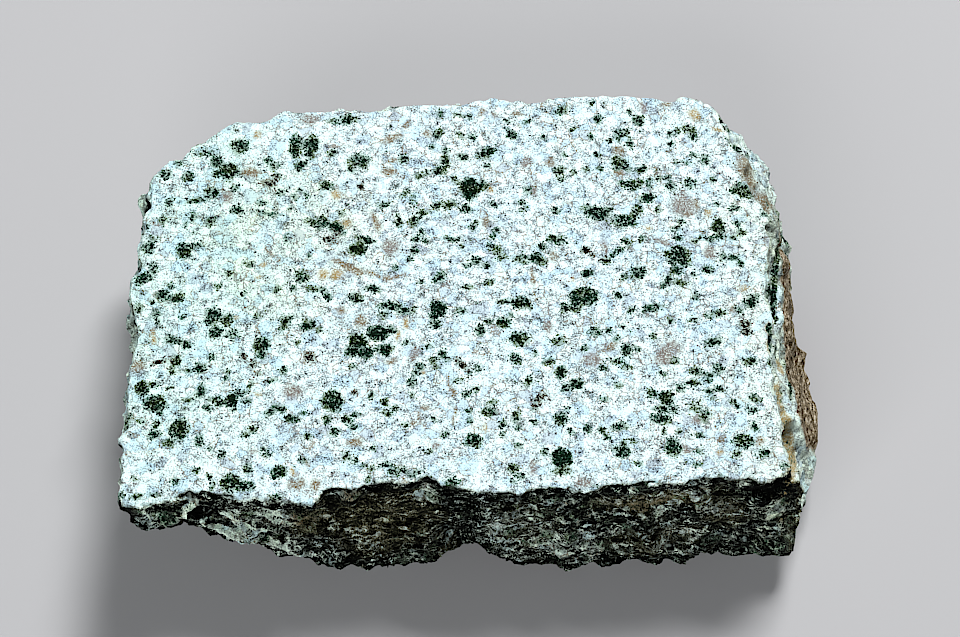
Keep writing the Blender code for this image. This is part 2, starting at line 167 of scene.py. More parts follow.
# Dark patches on the top face: the middle along X and Y, the half sizes and, where they are given,
# the turn in degrees and how full it is. The rest aren't turned, and are STRONG.
DARK_PATCHES = (
    # The back left quarter.
    (-37.6, 26.4, 1.4, 1.3, 0, SPONGY), (-41.2, 23.4, 1.0, 1.3), (-39.2, 21.5, 1.5, 1.6),
    (-41.0, 21.0, 1.0, 0.6), (-45.8, 20.7, 0.8, 0.9), (-49.3, 21.1, 0.9, 0.7, 0, SPONGY),
    (-47.4, 23.2, 0.4, 0.9, 0, SPONGY), (-43.0, 25.0, 1.7, 0.6, 0, THIN),
    (-41.8, 17.4, 1.1, 1.1, 0, SPONGY), (-44.4, 16.1, 1.8, 0.5, 10), (-48.4, 16.0, 0.7, 0.6, 0, SPONGY),
    (-49.3, 12.5, 0.7, 0.8, 0, SPONGY), (-41.7, 12.4, 0.9, 0.7, 40), (-44.5, 13.1, 0.5, 0.6, 0, SPONGY),
    (-45.5, 11.9, 0.4, 0.6, 0, SPONGY), (-37.7, 14.5, 0.9, 0.7), (-51.9, 11.2, 0.6, 0.5, 0, SPONGY),
    (-51.3, 7.4, 1.1, 0.8, 20, SPONGY), (-45.6, 6.9, 1.1, 1.5), (-43.9, 7.9, 1.2, 0.4, 10),
    (-50.5, 9.1, 0.9, 0.3, 0, THIN), (-50.3, 3.8, 0.5, 1.0, 0, SPONGY), (-51.7, 1.8, 1.4, 0.8, 45),
    (-47.4, 0.8, 0.5, 0.4, 0, SOLID), (-48.4, -1.0, 1.1, 0.8), (-46.1, -1.3, 1.2, 0.8),
    (-28.8, 26.6, 0.9, 2.0), (-26.2, 26.4, 1.3, 1.7), (-28.7, 24.7, 0.8, 0.8), (-26.3, 24.6, 0.7, 0.7),
    (-27.8, 22.7, 0.9, 0.7, 20), (-23.0, 24.9, 0.6, 0.6), (-33.3, 23.7, 0.4, 0.3),
    (-32.3, 22.8, 0.9, 0.5, 0, SPONGY), (-31.7, 20.7, 0.8, 0.6, 0, SPONGY),
    (-32.8, 19.4, 1.0, 0.5, -15, SPONGY), (-23.7, 19.0, 1.3, 0.7, -20),
    (-30.8, 17.6, 0.6, 0.4, 30, SPONGY), (-28.8, 16.9, 0.3, 0.3), (-27.9, 18.3, 0.3, 0.3),
    (-26.7, 17.5, 0.4, 0.4), (-33.8, 15.7, 0.9, 0.5), (-29.3, 14.9, 0.3, 0.3),
    (-32.8, 13.7, 1.4, 0.3, -5, SPONGY), (-25.7, 12.5, 1.5, 0.4, -45), (-24.0, 12.7, 0.9, 0.8, -30),
    (-22.0, 11.7, 1.1, 0.9, -20, SOLID), (-35.1, 4.8, 0.3, 0.5), (-38.7, 3.1, 0.4, 0.4),
    (-40.1, 1.0, 0.4, 0.4), (-25.8, 6.5, 0.4, 0.4), (-26.9, 2.6, 1.0, 1.1, 0, SPONGY),
    (-30.8, 0.2, 0.5, 0.5), (-28.3, 0.6, 0.4, 0.4), (-25.3, 0.3, 0.8, 0.5), (-23.8, 0.2, 0.8, 0.3),
    (-23.0, -0.8, 0.6, 0.6), (-36.1, -0.8, 0.3, 0.5), (-22.6, 31.0, 1.2, 0.5, 0, SPONGY),
    (-20.6, 31.2, 0.8, 0.8), (-19.3, 31.4, 0.6, 0.5, 0, SPONGY), (-38.1, 18.3, 0.5, 0.4, 0, SPONGY),
    (-29.6, 9.2, 0.2, 0.7), (-23.0, 9.5, 1.0, 0.2, -20),
    # The middle of the back.
    (-18.6, 23.8, 1.6, 1.3, 0, SPONGY), (-19.8, 22.0, 0.4, 0.4), (-17.7, 23.1, 0.5, 1.0),
    (-11.4, 23.8, 0.8, 0.7), (-5.9, 28.8, 0.7, 0.9), (-6.8, 26.4, 0.4, 0.4), (-5.7, 32.4, 0.5, 0.2),
    (-2.5, 32.3, 0.6, 0.3), (-0.8, 31.9, 0.4, 0.4), (-2.2, 28.5, 0.6, 0.6, 0, THIN),
    (-0.6, 28.2, 0.4, 0.3), (5.4, 31.3, 0.7, 0.2, 0, SOLID), (8.5, 31.0, 0.8, 0.3, 20),
    (5.9, 28.5, 0.9, 0.6, -30), (5.2, 29.4, 0.3, 0.3), (11.1, 27.9, 0.4, 0.4), (-5.5, 21.9, 1.0, 0.8),
    (-4.8, 23.8, 0.5, 1.2), (-8.8, 20.9, 0.7, 0.5, 30), (-7.6, 21.7, 0.4, 0.4), (-4.6, 25.3, 0.4, 0.5),
    (-2.0, 24.2, 0.6, 0.7, 40, SOLID), (1.9, 25.1, 1.6, 0.9, 30), (2.0, 22.7, 0.6, 0.5),
    (-3.4, 20.4, 0.5, 0.5), (-0.8, 18.5, 1.5, 1.8, 0, SOLID), (-2.5, 19.4, 0.6, 0.3),
    (0.9, 19.1, 0.9, 0.8), (-0.8, 17.0, 0.5, 0.5), (-11.2, 17.5, 0.7, 0.3, 20),
    (-14.3, 15.8, 1.0, 0.5, 15, SPONGY), (-9.8, 16.6, 0.3, 0.9, 0, THIN), (-4.1, 15.5, 1.2, 0.7, 20),
    (-6.2, 15.4, 0.9, 0.6), (-8.3, 13.9, 1.1, 0.5, 25), (-9.7, 12.4, 0.7, 0.8), (-1.4, 14.9, 0.9, 0.5),
    (-12.2, 13.8, 0.3, 0.3), (-11.9, 12.3, 0.5, 0.7), (3.0, 15.7, 0.5, 0.5), (7.4, 16.0, 0.5, 0.4),
    (7.7, 14.8, 0.6, 0.2), (8.2, 18.2, 0.5, 0.5, 0, THIN), (13.6, 21.9, 0.8, 0.7),
    (13.6, 20.3, 0.6, 0.4), (12.8, 14.2, 0.4, 0.4), (-18.1, 18.8, 0.5, 0.7, 0, SPONGY),
    (-20.9, 14.1, 0.5, 0.5, 0, THIN), (-17.2, 9.2, 1.6, 0.7, -15), (-18.3, 7.5, 1.4, 0.9, 0, SOLID),
    (-9.3, 9.3, 0.7, 0.5), (-7.7, 9.1, 0.3, 0.3), (-9.4, 7.2, 0.5, 0.5), (-10.4, 5.8, 0.5, 0.4),
    (-8.5, 10.4, 0.4, 0.4), (-3.0, 9.3, 0.8, 0.3), (-2.0, 8.1, 0.3, 0.3), (-4.4, 9.7, 0.5, 0.2),
    (-0.4, 11.5, 0.5, 0.5), (0.5, 12.4, 0.3, 0.3), (3.4, 10.7, 0.4, 0.2), (3.0, 9.8, 0.3, 0.3),
    (3.4, 7.5, 0.9, 1.0, 0, SPONGY), (4.1, 6.0, 0.8, 0.6, 0, SPONGY), (2.5, 8.1, 0.3, 0.5),
    (0.2, 5.7, 0.9, 0.6), (-1.2, 4.8, 0.7, 0.4), (1.7, 4.5, 0.5, 0.3), (7.2, 5.7, 1.2, 0.7, 0, SPONGY),
    (7.7, 5.0, 1.0, 0.4), (9.6, 5.7, 0.8, 0.9, 0, SOLID), (10.7, 5.2, 0.5, 0.5), (10.6, 7.8, 0.8, 0.6),
    (12.2, 9.3, 0.7, 0.5), (13.3, 8.9, 1.0, 0.6, 0, SPONGY), (-12.6, 4.2, 0.4, 0.4),
    (-15.8, 0.4, 1.0, 0.5, -20, SOLID), (-5.5, 2.1, 0.9, 0.6), (-5.0, 3.0, 0.5, 0.3),
    (-8.4, 1.6, 0.3, 0.3), (-1.0, 0.7, 0.9, 0.5), (2.2, 1.6, 0.7, 0.4),
    (-18.3, -1.2, 1.0, 0.9, 0, SPONGY), (-21.2, 10.2, 1.2, 0.3, 0, SPONGY),
    # The back right quarter.
    (14.0, 32.9, 1.3, 0.7, 25, SPONGY), (15.8, 29.6, 0.5, 0.3), (19.8, 31.3, 0.6, 0.7),
    (18.9, 34.6, 0.5, 0.3), (26.2, 31.2, 0.9, 0.8, 0, SOLID), (25.0, 32.5, 0.4, 0.5),
    (18.7, 27.9, 0.4, 0.4), (23.4, 28.3, 1.1, 0.8, 0, SPONGY), (24.3, 28.9, 0.6, 0.5),
    (21.6, 27.2, 0.4, 0.3), (24.9, 26.9, 0.5, 0.9), (14.5, 24.7, 0.4, 0.4), (19.5, 24.8, 0.4, 0.4),
    (23.1, 23.1, 1.3, 1.1), (22.8, 22.1, 0.5, 0.3, 0, SOLID), (24.5, 22.2, 0.4, 0.7),
    (26.6, 22.0, 0.7, 0.5, 30), (20.0, 22.3, 0.5, 0.4), (15.8, 21.2, 0.3, 0.6),
    (17.8, 21.9, 0.5, 0.5, 0, SPONGY), (23.7, 19.1, 0.9, 0.6), (25.3, 19.1, 1.0, 1.0),
    (26.3, 19.7, 0.6, 0.6), (27.9, 20.2, 0.4, 0.4), (29.3, 20.3, 0.5, 0.5), (30.7, 20.6, 0.5, 0.3),
    (27.9, 19.1, 0.4, 0.5), (27.4, 16.8, 0.9, 0.7), (26.5, 16.3, 0.5, 0.3), (31.5, 28.9, 0.3, 0.3),
    (32.6, 29.4, 0.4, 0.5), (34.3, 29.7, 0.8, 0.6, 0, SPONGY), (35.0, 28.8, 0.5, 1.0),
    (31.5, 27.2, 0.5, 0.4), (35.4, 25.2, 0.8, 0.4), (36.9, 23.8, 0.6, 1.0), (32.3, 23.1, 0.3, 0.3),
    (33.7, 23.4, 0.6, 0.3, 0, THIN), (34.1, 19.4, 0.7, 0.9, 60, SPONGY), (38.0, 20.2, 0.4, 0.4),
    (31.2, 19.0, 0.9, 0.8, 0, THIN), (41.8, 27.0, 1.4, 0.7, -35), (42.7, 18.1, 1.9, 1.2, -20),
    (47.1, 18.3, 0.4, 0.5), (41.2, 14.9, 0.8, 0.5), (46.3, 14.1, 1.0, 0.5), (47.0, 12.3, 0.3, 0.3),
    (38.4, 15.8, 0.3, 0.3), (38.5, 11.4, 0.9, 1.4), (38.7, 9.6, 1.0, 0.4), (36.9, 9.3, 0.9, 0.4),
    (41.2, 12.0, 0.5, 0.4), (42.0, 10.8, 0.6, 0.5), (40.8, 9.6, 0.6, 0.4), (35.1, 9.4, 1.2, 0.2, 35),
    (32.6, 12.4, 0.6, 0.3, -30), (31.8, 11.2, 0.7, 0.5, 0, THIN), (32.0, 9.4, 0.6, 0.3),
    (19.4, 13.9, 2.3, 1.1), (17.5, 14.8, 0.7, 0.4), (21.1, 14.7, 0.8, 0.4), (19.8, 13.0, 0.9, 0.4),
    (23.6, 12.4, 2.0, 1.0, 0, SPONGY), (25.3, 13.6, 0.7, 0.6), (25.9, 14.8, 0.6, 0.5),
    (29.2, 14.9, 0.4, 0.5), (23.9, 8.7, 0.7, 0.5), (26.3, 9.1, 0.4, 0.4), (17.4, 7.2, 0.5, 0.5, -45),
    (18.6, 6.4, 0.4, 0.4), (22.6, 7.3, 0.6, 0.4, 40), (20.5, 5.4, 0.8, 0.4, 0, SOLID),
    (21.8, 6.4, 0.5, 0.4), (31.9, 6.2, 1.9, 1.6), (33.0, 4.8, 1.1, 0.7), (30.7, 4.7, 0.6, 0.5),
    (31.5, 3.1, 0.9, 0.7), (30.3, 1.9, 0.6, 0.5), (32.1, 1.1, 1.2, 0.4), (29.7, 1.0, 0.4, 0.6),
    (36.5, 4.0, 0.7, 0.6), (40.7, 6.0, 0.7, 0.6), (41.6, 4.8, 0.6, 0.6), (39.1, 6.1, 0.5, 0.4),
    (34.4, 2.8, 0.4, 0.6), (47.2, 6.9, 0.6, 1.6), (46.8, 3.9, 0.3, 1.2),
    (17.6, 3.1, 1.0, 0.9, 0, SOLID), (25.5, 3.0, 1.2, 1.0, 0, SPONGY), (23.4, 2.4, 0.4, 0.5),
    # The front left quarter.
    (-50.0, -2.2, 0.4, 0.4), (-49.3, -4.4, 0.5, 0.6), (-49.0, -5.5, 0.3, 0.3),
    (-52.1, -3.2, 0.6, 0.7, 0, SPONGY), (-52.6, -6.7, 0.7, 0.3), (-45.4, -4.8, 0.6, 0.4),
    (-40.8, -4.5, 1.0, 1.5), (-39.7, -4.1, 0.5, 0.8), (-38.3, -5.3, 1.0, 0.9, 0, SPONGY),
    (-40.0, -7.3, 0.9, 0.9, 0, SPONGY), (-37.5, -7.9, 0.9, 0.6, 0, THIN), (-33.8, -4.4, 0.5, 0.4),
    (-29.4, -5.6, 0.7, 1.5, -10), (-25.8, -6.2, 1.0, 0.7), (-46.7, -8.6, 0.9, 0.6),
    (-45.6, -9.1, 0.8, 0.5), (-44.4, -9.6, 0.7, 0.5), (-32.9, -9.4, 1.2, 1.2), (-32.7, -11.2, 0.7, 0.6),
    (-48.4, -12.4, 1.5, 0.4, 25, SOLID), (-46.0, -12.4, 0.8, 1.0), (-46.3, -14.2, 0.6, 0.4),
    (-42.2, -13.5, 0.8, 0.9), (-43.9, -14.2, 0.5, 0.5), (-40.5, -11.6, 0.4, 0.3),
    (-35.6, -11.5, 0.5, 0.4), (-34.2, -12.8, 0.7, 0.5, 0, THIN), (-33.2, -14.5, 0.4, 0.4),
    (-37.8, -14.2, 0.4, 0.4), (-25.2, -11.7, 0.9, 0.6, -35), (-27.5, -9.2, 0.5, 0.4),
    (-29.1, -14.0, 0.6, 0.4), (-24.0, -7.0, 0.5, 0.4), (-50.8, -17.0, 1.0, 1.2, 0, SOLID),
    (-49.1, -16.4, 0.7, 0.4), (-46.7, -17.0, 0.5, 0.3), (-48.6, -19.7, 1.8, 1.4),
    (-47.7, -21.2, 0.4, 0.4), (-41.9, -17.7, 0.7, 1.2, -20), (-43.6, -19.1, 0.7, 0.3),
    (-39.7, -19.1, 0.7, 0.5), (-38.6, -19.7, 0.8, 0.5), (-37.1, -19.2, 1.0, 0.8, 0, SOLID),
    (-36.7, -20.6, 0.5, 0.5), (-40.7, -20.5, 0.6, 0.5), (-35.8, -18.0, 1.2, 0.5, 15),
    (-34.7, -19.4, 0.5, 0.3), (-34.3, -16.4, 0.25, 0.9, -20), (-31.0, -15.7, 1.1, 0.25, 5),
    (-37.9, -15.4, 0.5, 0.3), (-30.8, -20.9, 1.6, 0.5, 48), (-29.4, -20.6, 0.5, 0.5),
    (-27.7, -22.3, 1.3, 0.6, -10, SOLID), (-25.9, -21.2, 0.4, 0.4), (-21.7, -18.9, 1.6, 1.5),
    (-21.2, -20.5, 0.7, 0.3), (-22.4, -22.3, 0.5, 0.7), (-21.3, -24.3, 0.5, 0.5),
    (-52.4, -21.8, 0.4, 0.5), (-52.7, -23.0, 0.5, 0.5), (-50.8, -22.8, 0.6, 0.35),
    (-48.2, -23.3, 0.5, 0.5), (-48.5, -25.0, 0.8, 0.7, 0, SPONGY), (-44.7, -24.1, 1.4, 1.7),
    (-46.1, -26.4, 0.8, 0.7, 0, SPONGY), (-41.6, -25.8, 0.5, 0.8), (-33.6, -24.0, 0.7, 0.5),
    (-34.8, -25.0, 0.5, 0.4), (-25.3, -25.3, 0.5, 0.5), (-31.9, -27.2, 0.4, 0.2),
    (-31.4, -28.2, 0.8, 0.2, 0, THIN), (-38.2, -28.3, 0.5, 0.5), (-39.9, -27.3, 0.3, 0.3),
    (-34.1, -30.6, 0.7, 0.7), (-29.3, -31.2, 1.1, 0.9, 30), (-36.6, -32.9, 1.3, 1.3),
    (-34.4, -33.3, 1.2, 0.8), (-39.7, -32.0, 0.4, 0.4), (-39.3, -33.5, 0.4, 0.7),
    (-26.0, -29.2, 0.7, 0.4), (-52.9, -34.8, 0.6, 0.5), (-50.6, -35.3, 0.8, 0.3),
    (-48.0, -35.0, 0.7, 0.4), (-51.0, -32.3, 0.3, 0.3), (-44.8, -32.8, 0.6, 0.3),
    (-41.8, -31.0, 0.25, 0.4), (-29.5, -35.4, 0.8, 0.3),
    # The middle of the front, with the largest cluster.
    (-14.8, -7.6, 1.6, 1.3, 0, SOLID), (-17.9, -9.0, 1.4, 1.1, 0, SOLID),
    (-18.6, -10.7, 1.2, 0.9, 0, SOLID), (-16.8, -11.0, 1.3, 0.9, 0, SOLID),
    (-13.7, -10.3, 1.4, 0.8, 0, SOLID), (-13.1, -7.0, 0.9, 0.6), (-13.2, -2.8, 1.9, 0.7),
    (-13.9, -2.8, 0.5, 0.6, 0, SOLID), (-11.0, -3.7, 1.0, 0.6), (-9.7, -3.4, 0.4, 0.4),
    (-14.1, -4.4, 0.8, 0.5, 0, SPONGY), (-5.6, -3.1, 1.0, 1.4, 30, SOLID), (-6.2, -4.3, 0.7, 0.6),
    (-6.1, -6.0, 0.8, 0.8), (-2.1, -3.8, 0.8, 0.4), (-18.8, -13.3, 0.4, 0.5),
    (-7.3, -9.8, 0.7, 0.4, 0, SPONGY), (-10.3, -9.3, 0.4, 0.4), (-5.0, -11.4, 0.6, 0.6),
    (-4.2, -12.2, 0.5, 0.4), (-6.4, -12.5, 0.5, 0.5), (-5.8, -13.4, 0.6, 0.3), (-8.4, -13.4, 0.5, 0.5),
    (-8.9, -14.5, 0.5, 0.4), (-9.5, -16.0, 0.5, 0.7, 0, SPONGY), (-2.1, -12.9, 1.4, 0.35, -45),
    (-0.9, -14.6, 0.3, 0.3), (-2.5, -15.7, 0.9, 0.4, 0, SPONGY), (-1.2, -18.2, 0.4, 0.25),
    (0.2, -17.4, 0.25, 0.4), (0.4, -14.0, 0.7, 0.3, 0, THIN), (0.9, -7.2, 0.6, 1.0, 0, SOLID),
    (2.0, -5.4, 0.6, 0.3), (4.4, -5.6, 0.9, 0.8), (5.6, -4.5, 0.4, 0.2), (7.0, -2.2, 1.5, 0.9),
    (4.6, -1.9, 1.2, 0.4), (8.7, -2.9, 0.4, 0.4), (6.9, -8.5, 1.7, 1.1),
    (6.2, -12.1, 0.8, 0.9, 0, SPONGY), (12.9, -8.8, 1.2, 0.6, 0, SPONGY), (11.2, -12.6, 0.9, 0.6, 25),
    (9.3, -11.2, 0.3, 0.3), (13.2, -14.5, 0.8, 1.2, -20, SOLID), (8.3, -15.8, 0.5, 0.9),
    (10.0, -18.8, 0.4, 1.2, -30, SOLID), (9.1, -20.2, 0.4, 0.4), (2.8, -19.4, 0.6, 0.4),
    (2.2, -21.2, 1.2, 0.7), (-0.8, -21.1, 0.6, 0.5), (-0.6, -22.7, 0.4, 0.5),
    (6.3, -21.7, 0.5, 1.1, -20), (6.6, -23.5, 0.3, 0.3), (4.3, -23.0, 0.5, 0.5), (4.5, -24.7, 0.4, 0.4),
    (9.0, -22.9, 0.5, 0.2), (-0.2, -26.1, 1.2, 0.9), (6.7, -26.8, 0.6, 0.4),
    (-13.6, -19.3, 0.5, 0.6, 0, SOLID), (-12.2, -20.3, 0.5, 0.5), (-13.3, -21.2, 0.6, 0.5),
    (-9.5, -18.1, 0.3, 0.4), (-18.2, -17.4, 0.3, 0.3), (-15.7, -18.2, 0.25, 0.25),
    (-19.3, -22.3, 0.8, 0.6), (-18.2, -21.3, 0.6, 0.4, 30), (-18.5, -23.6, 0.6, 0.4),
    (-15.2, -27.1, 0.3, 0.3), (-19.4, -28.3, 0.4, 0.5), (-18.0, -29.2, 0.5, 0.3),
    (-6.6, -27.8, 0.5, 0.3), (-10.6, -23.2, 0.4, 0.3), (-6.2, -22.2, 0.3, 0.3), (-4.3, -24.9, 0.5, 0.2),
    (-13.4, -30.1, 0.9, 0.4), (-12.1, -31.2, 1.0, 0.6), (-16.6, -29.9, 0.5, 0.2),
    (-15.3, -30.5, 0.3, 0.3), (-10.6, -31.0, 0.8, 0.4, -20), (-8.9, -31.4, 1.0, 0.3, 20),
    (-7.1, -32.3, 0.6, 0.25), (-16.0, -32.2, 0.4, 0.4), (-13.6, -33.0, 0.4, 0.4),
    (-14.6, -33.5, 0.5, 0.6), (-3.6, -33.2, 1.2, 0.7, 0, SPONGY), (-16.8, -35.2, 1.2, 0.6),
    (5.8, -30.7, 0.7, 0.7), (7.0, -31.9, 0.7, 0.2), (5.7, -32.8, 0.5, 0.3),
    (13.2, -28.7, 1.5, 1.6, 0, SOLID), (13.0, -30.8, 1.5, 0.8, 0, SPONGY), (10.5, -27.8, 0.4, 0.5),
    (13.1, -22.2, 0.9, 1.1), (14.1, -20.6, 0.3, 0.3),
    # The front right quarter.
    (17.0, -1.3, 2.3, 1.5), (14.0, -3.3, 0.8, 0.7), (15.7, -3.2, 1.0, 0.8), (22.3, -1.0, 0.5, 0.5),
    (27.8, -3.0, 1.7, 0.5, 20), (24.4, -3.6, 0.4, 0.2), (23.1, -6.1, 0.5, 0.2),
    (30.3, -5.4, 0.35, 0.35), (37.9, -3.8, 1.2, 0.5, 10), (36.1, -4.4, 0.3, 0.3),
    (43.1, -1.7, 1.3, 0.9, 30), (41.2, -3.3, 0.6, 0.4), (34.3, -1.0, 0.4, 0.4), (33.9, -5.3, 0.6, 0.4),
    (18.7, -7.4, 0.9, 0.6, 0, SPONGY), (20.8, -7.1, 0.5, 0.3), (21.8, -8.4, 0.7, 0.4, 40),
    (27.6, -8.0, 0.4, 0.4), (41.8, -6.0, 0.7, 0.8), (41.9, -7.4, 0.6, 0.5), (36.9, -9.0, 1.2, 0.7),
    (23.4, -10.6, 0.7, 1.0), (25.0, -10.3, 0.4, 0.5), (17.0, -10.2, 0.7, 0.4),
    (21.9, -12.4, 1.2, 0.5, 0, SPONGY), (23.3, -13.4, 0.8, 0.5, 0, SPONGY), (19.7, -13.6, 0.3, 0.4),
    (30.9, -12.3, 0.6, 0.3, 30), (28.8, -14.4, 0.5, 0.3), (33.9, -14.2, 1.0, 0.8),
    (33.4, -16.1, 1.2, 0.4), (36.0, -14.8, 0.9, 0.3), (35.7, -15.8, 0.6, 0.4),
    (37.4, -13.8, 0.7, 0.7, 0, SPONGY), (37.3, -17.4, 0.6, 0.4), (35.8, -17.5, 0.5, 0.5),
    (36.4, -18.8, 0.4, 0.4), (42.2, -12.4, 1.3, 0.6), (45.5, -12.5, 0.4, 0.7), (15.6, -16.3, 1.0, 0.9),
    (13.9, -17.1, 0.5, 0.5), (21.9, -16.6, 0.4, 0.4), (19.8, -19.0, 0.5, 0.4),
    (27.1, -18.0, 0.6, 0.7, 40), (29.3, -18.6, 1.3, 1.2), (28.2, -20.6, 1.3, 0.4, 0, SOLID),
    (28.4, -22.2, 1.6, 0.8), (31.4, -16.9, 0.5, 0.4), (30.3, -20.6, 0.6, 0.5), (39.4, -19.2, 0.5, 0.3),
    (40.0, -20.0, 0.4, 0.4), (42.7, -19.0, 1.0, 0.6, 0, SPONGY), (42.3, -20.9, 0.7, 0.4),
    (33.5, -20.2, 0.9, 0.8, 0, THIN), (35.0, -21.7, 0.8, 1.0, 0, SPONGY), (22.0, -23.5, 1.3, 0.5, 10),
    (17.2, -24.0, 0.5, 0.7), (19.2, -24.2, 0.4, 0.5), (14.7, -24.4, 0.4, 0.2), (20.0, -25.3, 0.5, 0.4),
    (28.8, -24.4, 0.4, 0.4), (31.0, -24.3, 0.4, 0.4), (34.2, -24.9, 0.6, 0.4),
    (42.4, -23.8, 0.6, 0.6, 0, SPONGY), (40.6, -26.1, 1.5, 1.0), (39.5, -28.1, 0.5, 0.6),
    (43.6, -28.1, 0.9, 0.6, 0, SPONGY), (24.1, -25.8, 0.5, 0.3), (22.5, -27.7, 1.1, 0.8, 25),
    (22.5, -26.5, 0.5, 0.3), (21.2, -27.2, 0.4, 0.4), (30.0, -27.0, 1.2, 1.6), (33.5, -29.8, 0.6, 0.4),
    (34.1, -27.4, 0.3, 0.3), (24.6, -29.7, 0.6, 0.3), (37.0, -31.9, 0.3, 0.3), (18.3, -33.6, 0.6, 0.4),
    (46.7, -30.0, 0.6, 0.3),
)

# Where dark patches on the top face are brown: the middle along X and Y, and how far round it.
BROWN_PATCHES = (
    (-32.8, 19.4), (-18.1, 18.8), (-25.2, -11.7), (-48.4, -12.4), (-2.1, -12.9), (10.0, -18.8),
    (41.8, -6.0), (-33.2, -14.5), (-23.0, 9.5), (-35.6, -11.5), (18.6, 6.4), (-18.2, -17.4),
)
BROWN_REACH = 1.8

# Stains and off-colour grains on the top face: the middle along X and Y, the half sizes and, where
# it is turned, the turn in degrees.
PINK_GRAINS = (
    (29.6, -11.0, 2.6, 1.4, 40), (33.2, 15.6, 2.0, 2.2), (-27.9, -17.5, 1.6, 1.2),
    (-9.1, -11.4, 0.8, 1.5, -20), (9.5, 18.6, 0.6, 1.4, -15), (20.5, 7.6, 0.5, 1.6),
    (18.0, -12.3, 1.3, 1.2), (33.8, -22.2, 1.0, 0.8), (31.9, -27.3, 0.7, 1.0), (16.4, -33.0, 1.3, 0.8),
    (8.8, -30.5, 0.7, 1.2), (11.4, -6.5, 0.5, 0.9), (29.5, 8.8, 1.5, 0.4, -35), (-5.8, -26.8, 0.7, 0.6),
    (-33.6, -27.6, 0.7, 0.5), (-26.5, 31.3, 1.5, 1.0), (37.0, 7.1, 0.9, 1.4), (8.3, 23.2, 1.0, 0.8),
    (27.2, 33.2, 0.5, 1.0), (-13.3, 7.8, 1.5, 1.5), (-39.2, 16.6, 1.0, 1.0),
)
BROWN_STAINS = (
    (-13.4, 27.6, 1.8, 0.7, 25), (-11.0, 30.5, 0.5, 0.9), (-7.6, 29.0, 0.8, 0.7), (1.1, 32.7, 0.4, 0.8),
    (3.2, 32.1, 0.4, 0.8), (7.0, 32.7, 1.0, 0.4), (-13.6, 21.5, 1.5, 0.8), (-13.5, 23.6, 1.3, 0.4),
    (-35.7, 21.4, 1.6, 0.8), (-33.0, 19.7, 1.2, 0.6), (12.1, 23.1, 0.7, 0.9),
    (-15.6, 12.5, 0.6, 2.1, 15), (1.8, 12.3, 0.4, 1.3), (12.4, 5.9, 0.7, 0.8), (9.1, 2.4, 0.5, 1.5),
    (23.0, 25.5, 1.0, 1.0), (23.0, 21.3, 0.8, 0.7), (31.2, 34.2, 1.0, 0.5), (-52.0, -13.0, 1.5, 1.0),
    (-17.6, -5.5, 0.8, 1.2), (-20.6, -3.5, 0.6, 0.7), (-12.8, -12.3, 1.2, 0.5),
    (-18.1, -25.9, 1.3, 0.9), (-8.6, -21.6, 0.3, 0.8), (-7.8, -20.2, 0.8, 0.4), (-9.6, -22.8, 0.5, 0.5),
    (-26.6, -33.2, 1.2, 0.9), (-23.9, -33.4, 0.8, 1.0), (21.0, -9.9, 1.5, 0.5, 40),
    (43.1, -26.2, 0.9, 0.7), (40.2, -3.2, 0.5, 0.7), (46.5, 17.0, 1.0, 1.0), (-9.0, -33.8, 1.2, 0.7),
    (43.5, 22.5, 1.5, 3.5, 15), (46.3, 18.5, 2.0, 1.6), (35.3, 15.7, 0.4, 1.2), (33.9, 14.0, 1.0, 0.4),
    (-22.0, 5.8, 0.7, 0.4), (36.0, 10.8, 0.8, 0.4, -40), (37.4, -25.5, 0.4, 0.6),
)
OCHRE_STAINS = (
    (-35.0, 28.3, 0.6, 0.8), (-33.1, 4.8, 0.6, 0.5), (-33.5, 2.4, 0.6, 0.4), (-23.7, 3.0, 0.9, 1.0),
    (-21.6, 3.0, 0.9, 0.9), (-21.0, 12.0, 1.5, 0.8), (-22.0, 17.3, 0.8, 1.0), (-49.6, -8.2, 0.4, 1.4),
    (-33.0, -18.0, 0.6, 0.3), (-36.9, -4.8, 0.6, 0.5), (-11.8, -8.0, 0.4, 1.0), (-10.6, -5.9, 0.5, 1.0),
    (-8.0, -14.2, 0.4, 0.6), (37.2, 14.1, 0.5, 0.7), (41.9, 0.4, 0.8, 0.5), (27.5, 11.2, 0.6, 0.5),
    (2.5, 18.5, 0.5, 0.4), (1.7, -24.0, 0.4, 0.9), (-10.3, -33.0, 0.8, 0.6), (-27.2, -30.8, 0.4, 1.0),
    (37.1, -28.0, 0.5, 0.4), (15.5, 2.1, 0.3, 0.6), (39.0, 29.6, 1.2, 0.3, -25), (35.5, 32.6, 1.0, 1.0),
)
